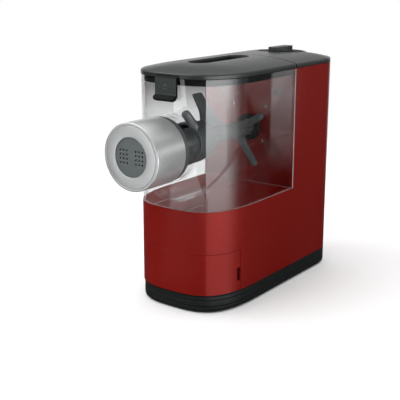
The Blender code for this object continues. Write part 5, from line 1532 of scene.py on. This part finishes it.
@dataclass
class DomedTop(SubAssembly):
    """What the lid and the rear cover share: a crowned top and a narrow rim."""

    wall: float = 0.0025
    band: float = 0.0054
    rise: float = 0.0074
    power: float = 2.4
    shell: float = 0.0030
    shoulder: float = 0.0020
    crown_steps: int = 22

    def darken_joint(self, cover: bpy.types.Object, depth: float) -> bpy.types.Object:
        """Gives the faces that stand in the joint a matt finish.

        Args:
            cover: the lid or the rear cover.
            depth: how far back the joint is.

        Returns:
            The cover.
        """
        cover.data.materials.clear()
        cover.data.materials.append(self.finishes.of(Slot.CHARCOAL))
        cover.data.materials.append(self.finishes.matt_black)
        for face in cover.data.polygons:
            upright = abs(face.normal.y) > 0.6 and abs(face.center.y - depth) < self.wall
            face.material_index = 1 if upright else 0
        return cover

    def crown(self, inset: float) -> float:
        """Height of the top at this distance in from the side."""
        share = min(1.0, inset / self.plan.half_width)
        return self.plan.rim + self.band + self.rise * (1 - (1 - share) ** self.power)

    def dome(self, name: str, outline: Callable[[float], Outline],
             inner: Callable[[float], Outline]) -> bpy.types.Object:
        """A domed cover, open below.

        Args:
            name: the object's name.
            outline: the outer outline at an inset.
            inner: the same for the inside.

        Returns:
            A closed solid.
        """
        plan = self.plan
        slope = self.rise * self.power / plan.half_width
        last = degrees(pi / 2) - degrees(asin(slope / sqrt(1 + slope * slope)))
        turn = [radians(last * step / 6) for step in range(7)]
        reach = self.shoulder * (1 - cos(turn[-1]))
        foot = self.crown(reach) - self.shoulder * sin(turn[-1])
        deepest = plan.half_width * 0.97
        insets = [reach + (deepest - reach) * (step / self.crown_steps) ** 1.25
                  for step in range(1, self.crown_steps + 1)]
        bottom = plan.rim + plan.seat_gap
        rings = [at_height(inner(inset), self.crown(inset) - self.shell)
                 for inset in reversed(insets) if inset > self.wall]
        rings.append(at_height(inner(self.wall), self.crown(self.wall) - self.shell))
        rings.append(at_height(inner(self.wall), bottom))
        rings.append(at_height(outline(plan.seat_gap), bottom))
        rings.append(at_height(outline(0.0), bottom + plan.seat_gap))
        rings += [at_height(outline(self.shoulder * (1 - cos(angle))), foot + self.shoulder * sin(angle))
                  for angle in turn]
        rings += [at_height(outline(inset), self.crown(inset)) for inset in insets]
        return lofted(name, rings)


@dataclass
class Lid(DomedTop):
    """The lid over the chamber, its seal and the insert that liquid is poured through."""

    split: float = 0.0014
    gasket_inset: float = 0.0031
    gasket_wall: float = 0.0020
    gasket_bottom: float = 0.2625
    pour_front: float = 0.046
    pour_back: float = 0.150
    pour_half: float = 0.0147
    pour_wall: float = 0.0016
    pour_floor_height: float = 0.2720
    pour_rim_height: float = 0.2818
    pour_floor: float = 0.0016
    slot_half: float = 0.0032
    slot_inset: float = 0.010
    latch_half: float = 0.0147
    recess_height: float = 0.0036
    recess_depth: float = 0.0022

    def build(self) -> None:
        """Builds the three pieces."""
        plan = self.plan
        gap = plan.seat_gap
        back = plan.column - self.split
        lid = self.dome("lid_dome", lambda inset: plan.arch(inset, back),
                        lambda inset: plan.arch(inset, back - self.wall))
        opening = prism("pour_opening", stadium(self.pour_half, plan.at(self.pour_front),
                                                plan.at(self.pour_back)),
                        plan.rim, self.crown(plan.half_width) + OVERRUN)
        half = self.latch_half + gap
        recess = block("latch_recess", (-half, half), (plan.front - OVERRUN, plan.at(self.recess_depth)),
                       (plan.rim - OVERRUN, plan.rim + self.recess_height))
        combined(lid, Merge.CUT, opening, recess)
        self.darken_joint(softened(lid, 0.00035, 3, 34), plan.at(back))
        self.hand_in(lid, "lid", Slot.CHARCOAL, "lid")

        seal_back = back - self.wall - gap
        seal_top = self.crown(self.wall) - self.shell - gap
        seal = prism("lid_seal", plan.arch(self.gasket_inset, seal_back), self.gasket_bottom, seal_top)
        inner = prism("seal_inside", plan.arch(self.gasket_inset + self.gasket_wall,
                                               seal_back - self.gasket_wall),
                      self.gasket_bottom - OVERRUN, seal_top + OVERRUN)
        combined(seal, Merge.CUT, inner)
        seal.data.materials.clear()
        seal.data.materials.append(self.finishes.matt_black)
        self.hand_in(softened(seal, 0.0005, 3), "lid", Slot.BLACK, "lid_gasket")

        tray = prism("pour_tray", stadium(self.pour_half - gap, plan.at(self.pour_front + gap),
                                          plan.at(self.pour_back - gap)),
                     self.pour_floor_height, self.pour_rim_height)
        inset = gap + self.pour_wall
        well = prism("pour_well", stadium(self.pour_half - inset, plan.at(self.pour_front + inset),
                                          plan.at(self.pour_back - inset)),
                     self.pour_floor_height + self.pour_floor, self.pour_rim_height + OVERRUN)
        slot = prism("pour_slot", stadium(self.slot_half, plan.at(self.pour_front + self.slot_inset),
                                          plan.at(self.pour_back - self.slot_inset)),
                     self.pour_floor_height - OVERRUN, self.pour_rim_height)
        combined(tray, Merge.CUT, well, slot)
        self.hand_in(softened(tray, 0.0004, 3), "lid", Slot.BLACK, "pour_insert")


@dataclass
class Latch(SubAssembly):
    """The tab at the lid's front, with a raised padlock sign."""

    half_width: float = 0.0147
    axis_height: float = 0.2717
    axis_depth: float = 0.0004
    knuckle: float = 0.0013
    back: float = -0.0006
    face: float = -0.0036
    lip_reach: float = 0.0058
    lip_top: float = 0.2520
    bottom: float = 0.2450
    corner_cut: float = 0.0048
    sign_height: float = 0.2604
    sign_proud: float = 0.00035
    sign_half: tuple[float, float] = (0.0027, 0.0021)
    sign_line: float = 0.0006

    def section(self) -> Outline:
        """The tab's side view, in YZ."""
        plan = self.plan
        axis = (plan.at(self.axis_depth), self.axis_height)
        face, back = plan.at(self.face), plan.at(self.back)
        lip = face - self.lip_reach
        height = self.lip_top - self.bottom
        return arc(axis, self.knuckle, -60, 130, 12) + eased(
            [(face, self.axis_height - self.knuckle), (face, self.lip_top),
             (lip, self.lip_top - height / 2), (lip, self.bottom + height / 4),
             (lip + self.lip_reach / 2, self.bottom), (back, self.bottom),
             (back, self.axis_height - self.knuckle * 2)], 0.0011, 4, False)

    def padlock(self) -> bpy.types.Object:
        """A small padlock that stands out of the tab's face."""
        z, line = self.sign_height, self.sign_line
        near = self.plan.at(self.face) - self.sign_proud
        far = self.plan.at(self.face) + self.sign_proud
        wide, high = self.sign_half
        lock = prism("padlock", rounded_box(wide, high, line, (0, z)), near, far, Axis.DEPTH)
        window = prism("padlock_window", rounded_box(wide - line, high - line, line / 2, (0, z)),
                       near - OVERRUN, far + OVERRUN, Axis.DEPTH)
        combined(lock, Merge.CUT, window)
        middle, radius = (0, z + high * 0.8), wide * 0.68
        shackle = prism("shackle", arc(middle, radius, 0, 180, 12) + arc(middle, radius - line, 180, 0, 12),
                        near, far, Axis.DEPTH)
        return combined(lock, Merge.JOIN, shackle)

    def build(self) -> None:
        """Builds the tab."""
        tab = prism("latch_tab", self.section(), -self.half_width, self.half_width, Axis.ACROSS)
        half, cut = self.half_width, self.corner_cut
        top = self.axis_height + self.knuckle * 2
        front = [(-half, top), (-half, self.bottom + cut), (cut - half, self.bottom - self.knuckle),
                 (half - cut, self.bottom - self.knuckle), (half, self.bottom + cut), (half, top)]
        limit = prism("latch_limit", front, self.plan.at(self.face) - self.lip_reach * 2,
                      self.plan.at(self.back) + self.lip_reach, Axis.DEPTH)
        combined(tab, Merge.TRIM, limit)
        combined(tab, Merge.JOIN, self.padlock())
        softened(tab, 0.0005, 3, 40)
        # Painted light and shade: the plate face that looks to the front gets the lighter grey as painted
        # light, the lip and the rest of the tab the darker matt black as painted shade, and the raised
        # padlock a third grey.
        tab.data.materials.clear()
        tab.data.materials.append(self.finishes.matt_black)
        tab.data.materials.append(self.finishes.latch_face_painted_light)
        tab.data.materials.append(self.finishes.latch_sign)
        flat = self.plan.at(self.face)
        for face in tab.data.polygons:
            plate = face.normal.y < -0.6 and face.center.z > self.lip_top
            sign = plate and face.center.y < flat - self.sign_proud * 0.8
            face.material_index = 2 if sign else 1 if plate else 0
        self.hand_in(tab, "latch", Slot.BLACK, "lid_latch")


@dataclass
class RearCover(DomedTop):
    """The domed cover of the column, with the dish that the knob sits in."""

    dish_centre: float = 0.237
    dish_radius: float = 0.0305
    dish_floor: float = 0.2800
    dish_shell: float = 0.0030
    shaft_radius: float = 0.0037

    def build(self) -> None:
        """Builds the cover."""
        plan = self.plan
        front = plan.column + plan.seat_gap
        cover = self.dome("column_dome", lambda inset: plan.column_plan(inset, front),
                          lambda inset: plan.column_plan(inset, front + self.wall))
        place = Matrix.Translation((0, plan.at(self.dish_centre), 0))
        top = self.crown(plan.half_width) + OVERRUN
        boss = drum("dish_boss", self.dish_radius + self.dish_shell, self.dish_floor - self.dish_shell,
                    self.dish_floor + self.dish_shell / 3, place, 96)
        combined(cover, Merge.JOIN, boss)
        combined(cover, Merge.CUT, drum("dish", self.dish_radius, self.dish_floor, top, place, 96),
                 drum("shaft_hole", self.shaft_radius + plan.running_gap,
                      self.dish_floor - self.dish_shell - OVERRUN, top, place, 32))
        self.darken_joint(softened(cover, 0.00035, 3, 34), plan.at(front))
        self.hand_in(cover, "housing", Slot.CHARCOAL, "rear_cover")


@dataclass
class Knob(SubAssembly):
    """The flat knob with its raised bar and the grip lines at the bar's rear end."""

    centre: float = 0.237
    dish_radius: float = 0.0305
    dish_floor: float = 0.2800
    top: float = 0.2877
    skirt: float = 0.0012
    bar_width: float = 0.0145
    bar_length: float = 0.040
    bar_round: float = 0.0024
    shaft_radius: float = 0.0037
    shaft_length: float = 0.0230
    grips: int = 4
    grip_width: float = 0.0011
    grip_pitch: float = 0.0024
    grip_depth: float = 0.0007

    def build(self) -> None:
        """Builds the knob."""
        plan = self.plan
        place = Matrix.Translation((0, plan.at(self.centre), 0))
        low = self.dish_floor + plan.seat_gap
        high = low + self.skirt
        radius = self.dish_radius - plan.running_gap
        shaft_low = low - self.shaft_length
        profile = [(0.0, shaft_low), (self.shaft_radius, shaft_low), (self.shaft_radius, low),
                   (radius, low), (radius, high), (0.0, high)]
        knob = turned("mode_knob", eased(profile, 0.0003, closed=False), place, 96, False)
        half, length = self.bar_width / 2, self.bar_length / 2
        outline = rounded_box(half, length, self.bar_round, (0, plan.at(self.centre)))
        bar = prism("knob_bar", outline, low + self.skirt / 2, self.top)
        first = plan.at(self.centre) + length - self.bar_round - self.grip_pitch
        middle = first - self.grip_pitch * (self.grips - 1) / 2 + self.grip_width / 2
        reach = self.grip_depth + OVERRUN
        grip = block("grips", (-reach / 2, reach / 2), (middle - self.grip_width / 2,
                                                        middle + self.grip_width / 2),
                     (high + self.skirt, self.top + OVERRUN))
        spread = (half - self.grip_depth + reach / 2) * 2
        grips = self.copies.run(grip, (2, self.grips), (spread, 0, 0), (0, self.grip_pitch, 0))
        combined(bar, Merge.CUT, grips)
        softened(bar, 0.0006, 3, 40)
        combined(knob, Merge.JOIN, bar)
        smoothed(cleaned(knob), 38)
        # Painted shade: the skirt, down in the dish, gets the darker matt black for the shade there; the bar
        # keeps the plain black.
        knob.data.materials.clear()
        knob.data.materials.append(self.finishes.of(Slot.BLACK))
        knob.data.materials.append(self.finishes.matt_black)
        for face in knob.data.polygons:
            face.material_index = 1 if face.center.z < high + self.skirt / 4 else 0
        self.hand_in(knob, "knob", Slot.BLACK, "control_knob")


@dataclass
class WallFittings(SubAssembly):
    """What shows in the column's front wall: screws and seal."""

    screw_radius: float = 0.0018
    screw_shank: float = 0.0013
    screw_head: float = 0.0016
    column_wall: float = 0.0030
    plate_thickness: float = 0.0025
    screw_places: tuple[tuple[float, float, str], ...] = ((0.024, 0.028, "upper"),
                                                          (0.020, -0.016, "lower"))
    seal_radius: float = 0.0167
    seal_front: float = 0.1606
    seal_width: float = 0.0044
    coupling_radius: float = 0.0099

    def build_screws(self) -> None:
        """Two pairs of screws with a cross in their heads."""
        plan = self.plan
        head = plan.column + self.column_wall - self.screw_head
        end = plan.column + self.column_wall + plan.seat_gap + self.plate_thickness
        back = head + self.screw_head
        radius = self.screw_radius
        profile = [(0.0, head), (radius * 0.7, head), (radius, head + radius * 0.3), (radius, back),
                   (self.screw_shank, back), (self.screw_shank, end), (0.0, end)]
        for x, up, level in self.screw_places:
            height = plan.axis + up
            screw = turned(f"wall_screws_{level}", profile, plan.along_drive(0, height), 24, False)
            arm, thin = radius * 0.72, radius * 0.17
            depth = (plan.at(head) - OVERRUN, plan.at(head) + radius * 0.4)
            level_bar = block("cross_a", (-arm, arm), depth, (height - thin, height + thin))
            plumb_bar = block("cross_b", (-thin, thin), depth, (height - arm, height + arm))
            combined(screw, Merge.CUT, level_bar, plumb_bar)
            # Painted shade: the screws take the near-black steel for the shade in their holes.
            pair = self.copies.run(screw, (2, 1), (x * 2, 0, 0), (0, 0, 0),
                                   self.finishes.screw_hole_painted_shade)
            self.hand_in(smoothed(pair), "housing", Slot.STEEL, f"plate_screw_{level}_left",
                         f"plate_screw_{level}_right")

    def build_seal(self) -> None:
        """The rubber seal with a lip and a groove in its face."""
        plan = self.plan
        inner = self.coupling_radius + plan.running_gap
        front, back = self.seal_front, self.seal_front + self.seal_width
        outer = self.seal_radius
        third = (outer - inner) / 3
        profile = [(inner, front), (inner + third * 0.6, front), (inner + third, front + 0.0009),
                   (inner + third * 2, front + 0.0009), (inner + third * 2.3, front), (outer, front),
                   (outer, back), (inner, back)]
        seal = turned("drive_seal", eased(profile, 0.0004), plan.along_drive(), 72)
        self.hand_in(smoothed(seal, 40), "housing", Slot.RUBBER, "shaft_seal")

    def build(self) -> None:
        """Builds the fittings."""
        self.build_screws()
        self.build_seal()


@dataclass
class CarriedNodes(SubAssembly):
    """CAD nodes that keep their shape and get their finish here."""

    def build(self) -> None:
        """Gives every CAD node that still shows the finish of its slot."""
        by_node = {part["node"]: part.get("material") for part in frame["record"]["subparts"]
                   if "node" in part}
        slots = {slot.value: slot for slot in Slot}
        for name, node in frame["nodes"].items():
            if node.hide_render:
                continue
            given = by_node.get(name) or node.data.materials[0].name.split(".")[0]
            slot = slots.get(given, Slot.CHARCOAL)
            node.data.materials.clear()
            node.data.materials.append(self.finishes.of(slot))
            LOG.info("%s keeps its shape, finish %s", name, slot.value)


# Studio


@dataclass(frozen=True)
class SoftBox:
    """A rectangular studio lamp.

    Attributes:
        name: the lamp's name.
        place: where it hangs.
        target: what it points at.
        size: its width and height.
        power: in watts.
        lights_surfaces: whether it lights as well as mirrors.
        mirrored: whether it shows in glossy surfaces.
    """

    name: str
    place: Place
    target: Place
    size: tuple[float, float]
    power: float
    lights_surfaces: bool = True
    mirrored: bool = True

    def build(self) -> bpy.types.Object:
        """Hangs the lamp."""
        data = bpy.data.lights.new(self.name, "AREA")
        data.shape = "RECTANGLE"
        data.size, data.size_y = self.size
        data.energy = self.power
        lamp = bpy.data.objects.new(self.name, data)
        lamp.location = self.place
        aim = Vector(self.target) - Vector(self.place)
        lamp.rotation_euler = aim.to_track_quat("-Z", "Y").to_euler()
        lamp.visible_diffuse = self.lights_surfaces
        lamp.visible_glossy = self.mirrored
        bpy.context.scene.collection.objects.link(lamp)
        return lamp


@dataclass(frozen=True)
class FloorCard:
    """A bright card on the floor that only glossy surfaces see.

    Attributes:
        name: the card's name.
        corners: its corners on the floor.
        near: glow close to the machine.
        far: glow at the reach.
        start: distance from the pivot where the glow begins to change.
        reach: distance from the pivot where the glow is full.
        pivot: the place on the floor that distance and bearing are measured from.
        fade: bearings in degrees between which the glow falls.
        faded: share of the glow past the second bearing.
    """

    name: str
    corners: tuple[tuple[float, float], ...]
    near: float
    far: float
    start: float = 0.2
    reach: float = 1.75
    pivot: tuple[float, float] = (0.06, -0.07)
    fade: tuple[float, float] = (170.0, 180.0)
    faded: float = 1.0

    def build(self) -> bpy.types.Object:
        """Lays the card out."""
        bm = bmesh.new()
        bm.faces.new([bm.verts.new((x, y, 0.0004)) for x, y in self.corners])
        card = object_from(self.name, bm, outward=False)
        material = bpy.data.materials.new(self.name)
        material.use_nodes = True
        graph = Graph(material.node_tree)
        place = graph.add("ShaderNodeTexCoord").outputs["Object"]
        offset = graph.add("ShaderNodeVectorMath", {0: place, 1: (*self.pivot, 0.0)}, operation="SUBTRACT")
        away = graph.add("ShaderNodeVectorMath", {0: offset.outputs[0]}, operation="LENGTH")
        spot = graph.add("ShaderNodeSeparateXYZ", {0: offset.outputs[0]}).outputs
        bearing = graph.math("ARCTAN2", spot[1], spot[0])
        glow = graph.add("ShaderNodeMapRange", {0: away.outputs["Value"], 1: self.start, 2: self.reach,
                                                3: self.near, 4: self.far})
        fall = graph.add("ShaderNodeMapRange", {0: bearing, 1: radians(self.fade[0]),
                                                2: radians(self.fade[1]), 3: 1.0, 4: self.faded},
                         interpolation_type="SMOOTHSTEP")
        lit = graph.add("ShaderNodeEmission", {"Strength": graph.math("MULTIPLY", glow.outputs[0],
                                                                      fall.outputs[0])})
        graph.add("ShaderNodeOutputMaterial", {0: lit.outputs[0]})
        card.data.materials.append(material)
        card.visible_camera = False
        card.visible_diffuse = False
        card.visible_shadow = False
        card.visible_transmission = False
        return card


@dataclass
class Studio:
    """Floor, lamps, cards and camera.

    Attributes:
        eye: where the camera stands.
        pitch: how far it looks down, in degrees.
        heading: how far it is turned from +Y, in degrees.
        lens: focal length in millimetres.
        sensor: film width in millimetres.
    """

    plan: BodyPlan
    eye: Place = (0.58156, -0.83298, 0.38613)
    pitch: float = 15.326
    heading: float = 36.527
    lens: float = 76.23
    sensor: float = 36.0
    floor_reach: float = 3.0
    floor_fade: tuple[float, float] = (0.35, 1.3)
    floor_shade: float = 0.85
    ambient: tuple[float, float] = (0.30, 1.45)
    backdrop: tuple[tuple[float, float], tuple[float, float]] = ((-0.162, 0.84), (-0.133, 0.30))
    mirrored_sky: tuple[tuple[float, float], ...] = ((0.0, 0.04), (1.0, 0.60), (0.02, 0.55), (0.07, 1.30),
                                                     (0.14, 1.50), (0.20, 0.95), (0.26, 0.40),
                                                     (0.33, 0.22), (0.44, 0.20), (0.58, 1.00))

    def build_camera(self) -> None:
        """Sets up the camera at the photograph's view."""
        data = bpy.data.cameras.new("camera")
        data.lens = self.lens
        data.sensor_width = self.sensor
        camera = bpy.data.objects.new("camera", data)
        camera.location = self.eye
        camera.rotation_euler = (radians(90 - self.pitch), 0.0, radians(self.heading))
        bpy.context.scene.collection.objects.link(camera)
        bpy.context.scene.camera = camera

    def build_floor(self) -> None:
        """Lays a plain pale floor that melts into the white surround."""
        bm = bmesh.new()
        reach = self.floor_reach
        bm.faces.new([bm.verts.new((x * reach, y * reach, 0)) for x, y in
                      ((-1, -1), (1, -1), (1, 1), (-1, 1))])
        floor = object_from("floor", bm, outward=False)
        material = bpy.data.materials.new("floor_white")
        material.use_nodes = True
        graph = Graph(material.node_tree)
        place = graph.add("ShaderNodeTexCoord").outputs["Object"]
        away = graph.add("ShaderNodeVectorMath", {0: place}, operation="LENGTH")
        fade = graph.add("ShaderNodeMapRange", {0: away.outputs["Value"], 1: self.floor_fade[0],
                                                2: self.floor_fade[1], 3: 0.0, 4: 1.0},
                         interpolation_type="SMOOTHSTEP")
        pale = graph.add("ShaderNodeBsdfDiffuse", {0: (*(self.floor_shade,) * 3, 1.0)})
        gone = graph.add("ShaderNodeBsdfTransparent")
        mixed = graph.add("ShaderNodeMixShader", {0: fade.outputs[0], 1: pale.outputs[0],
                                                  2: gone.outputs[0]})
        graph.add("ShaderNodeOutputMaterial", {0: mixed.outputs[0]})
        floor.data.materials.append(material)
        floor.visible_glossy = False

    def build_world(self) -> None:
        """A white surround that lights more from above, and is banded where it is mirrored.

        What shows through the clear walls is a paper backdrop that darkens with height.
        """
        world = bpy.data.worlds.new("studio")
        bpy.context.scene.world = world
        world.use_nodes = True
        graph = Graph(world.node_tree)
        path = graph.add("ShaderNodeLightPath").outputs
        place = graph.add("ShaderNodeTexCoord").outputs["Generated"]
        up = graph.add("ShaderNodeSeparateXYZ", {0: place}).outputs[2]
        sky = graph.add("ShaderNodeValToRGB", {0: up})
        ramp = sky.color_ramp
        for index, (height, glow) in enumerate(self.mirrored_sky):
            stop = ramp.elements[index] if index < 2 else ramp.elements.new(height)
            stop.position = height
            stop.color = (glow, glow, glow, 1.0)
        lit = graph.add("ShaderNodeMapRange", {0: up, 1: 0.0, 2: 1.0, 3: self.ambient[0],
                                               4: self.ambient[1]})
        (low, pale), (high, grey) = self.backdrop
        paper = graph.add("ShaderNodeMapRange", {0: up, 1: low, 2: high, 3: pale, 4: grey})
        through = graph.math("GREATER_THAN", path["Transparent Depth"], 1.5)
        backdrop = graph.add("ShaderNodeMix", {0: through, 6: (1.0, 1.0, 1.0, 1.0), 7: paper.outputs[0]},
                             data_type="RGBA")
        even = graph.add("ShaderNodeMix", {0: path["Is Glossy Ray"], 6: lit.outputs[0],
                                           7: sky.outputs[0]}, data_type="RGBA")
        seen = graph.add("ShaderNodeMix", {0: path["Is Camera Ray"], 6: even.outputs[2],
                                           7: backdrop.outputs[2]}, data_type="RGBA")
        back = graph.add("ShaderNodeBackground", {"Color": seen.outputs[2], "Strength": 1.0})
        graph.add("ShaderNodeOutputWorld", {0: back.outputs[0]})

    @staticmethod
    def ray(start: tuple[float, float], bearing: float, length: float = 9.0) -> tuple[float, float]:
        """The far end of a line on the floor."""
        return (start[0] + length * cos(radians(bearing)), start[1] + length * sin(radians(bearing)))

    def build_lights(self) -> None:
        """Hangs the lamps and lays out the cards."""
        SoftBox("key", (-0.9, -0.9, 1.5), (0, 0, 0.1), (1.5, 1.5), 22.0).build()
        SoftBox("top", (0.1, 0.5, 1.6), (0, 0, 0.2), (1.2, 0.7), 4.0).build()
        FloorCard("veil_front", ((0.07, -0.125), self.ray((0.045, -0.098), -50.3), (9.0, -1.2), (9.0, 3.5),
                                 self.ray((0.066, -0.048), 46.2), (0.09, -0.022)),
                  1.7, 6.6, fade=(6.0, 42.0), faded=0.05).build()
        near, far = (0.0675, 0.0), (0.0675, 0.056)
        FloorCard("veil_side", (self.ray(near, 58.3, 0.04), self.ray(near, 58.3), self.ray(far, 60.2),
                                self.ray(far, 60.2, 0.04)), 0.0, 1.08, start=0.7).build()
        edge, side = (-0.07, -0.17), (0.42, -0.42)
        FloorCard("front_sheet", (edge, self.ray(edge, -126.0), self.ray(side, -126.0), side),
                  0.30, 2.6, start=0.25, reach=1.3, pivot=(0.0, -0.1)).build()
        behind = (-0.02, 0.02)
        FloorCard("back_sheet", (self.ray(behind, 88.0, 0.2), self.ray(behind, 88.0),
                                 self.ray(behind, 128.0, 3.2), self.ray(behind, 168.0),
                                 self.ray(behind, 168.0, 0.2)), 1.0, 1.0).build()

    def build(self) -> None:
        """Sets up the whole studio."""
        scene = bpy.context.scene
        scene.view_settings.view_transform = "Standard"
        scene.cycles.transparent_max_bounces = 40
        scene.cycles.max_bounces = 10
        self.build_camera()
        self.build_floor()
        self.build_world()
        self.build_lights()


def main() -> None:
    """Builds every sub-assembly round the frame, then the studio."""
    logging.basicConfig(level=logging.INFO, format="%(name)s: %(message)s")
    plan = BodyPlan.from_frame()
    finishes = Finishes()
    copies = CopyTree()
    for kind in (Base, Housing, Drawer, Chamber, Extruder, Mixer, Lid, Latch, RearCover, Knob,
                 WallFittings, CarriedNodes):
        LOG.info("building %s", kind.__name__)
        kind(plan, finishes, copies).build()
    Studio(plan).build()


if __name__ == "__main__":
    main()
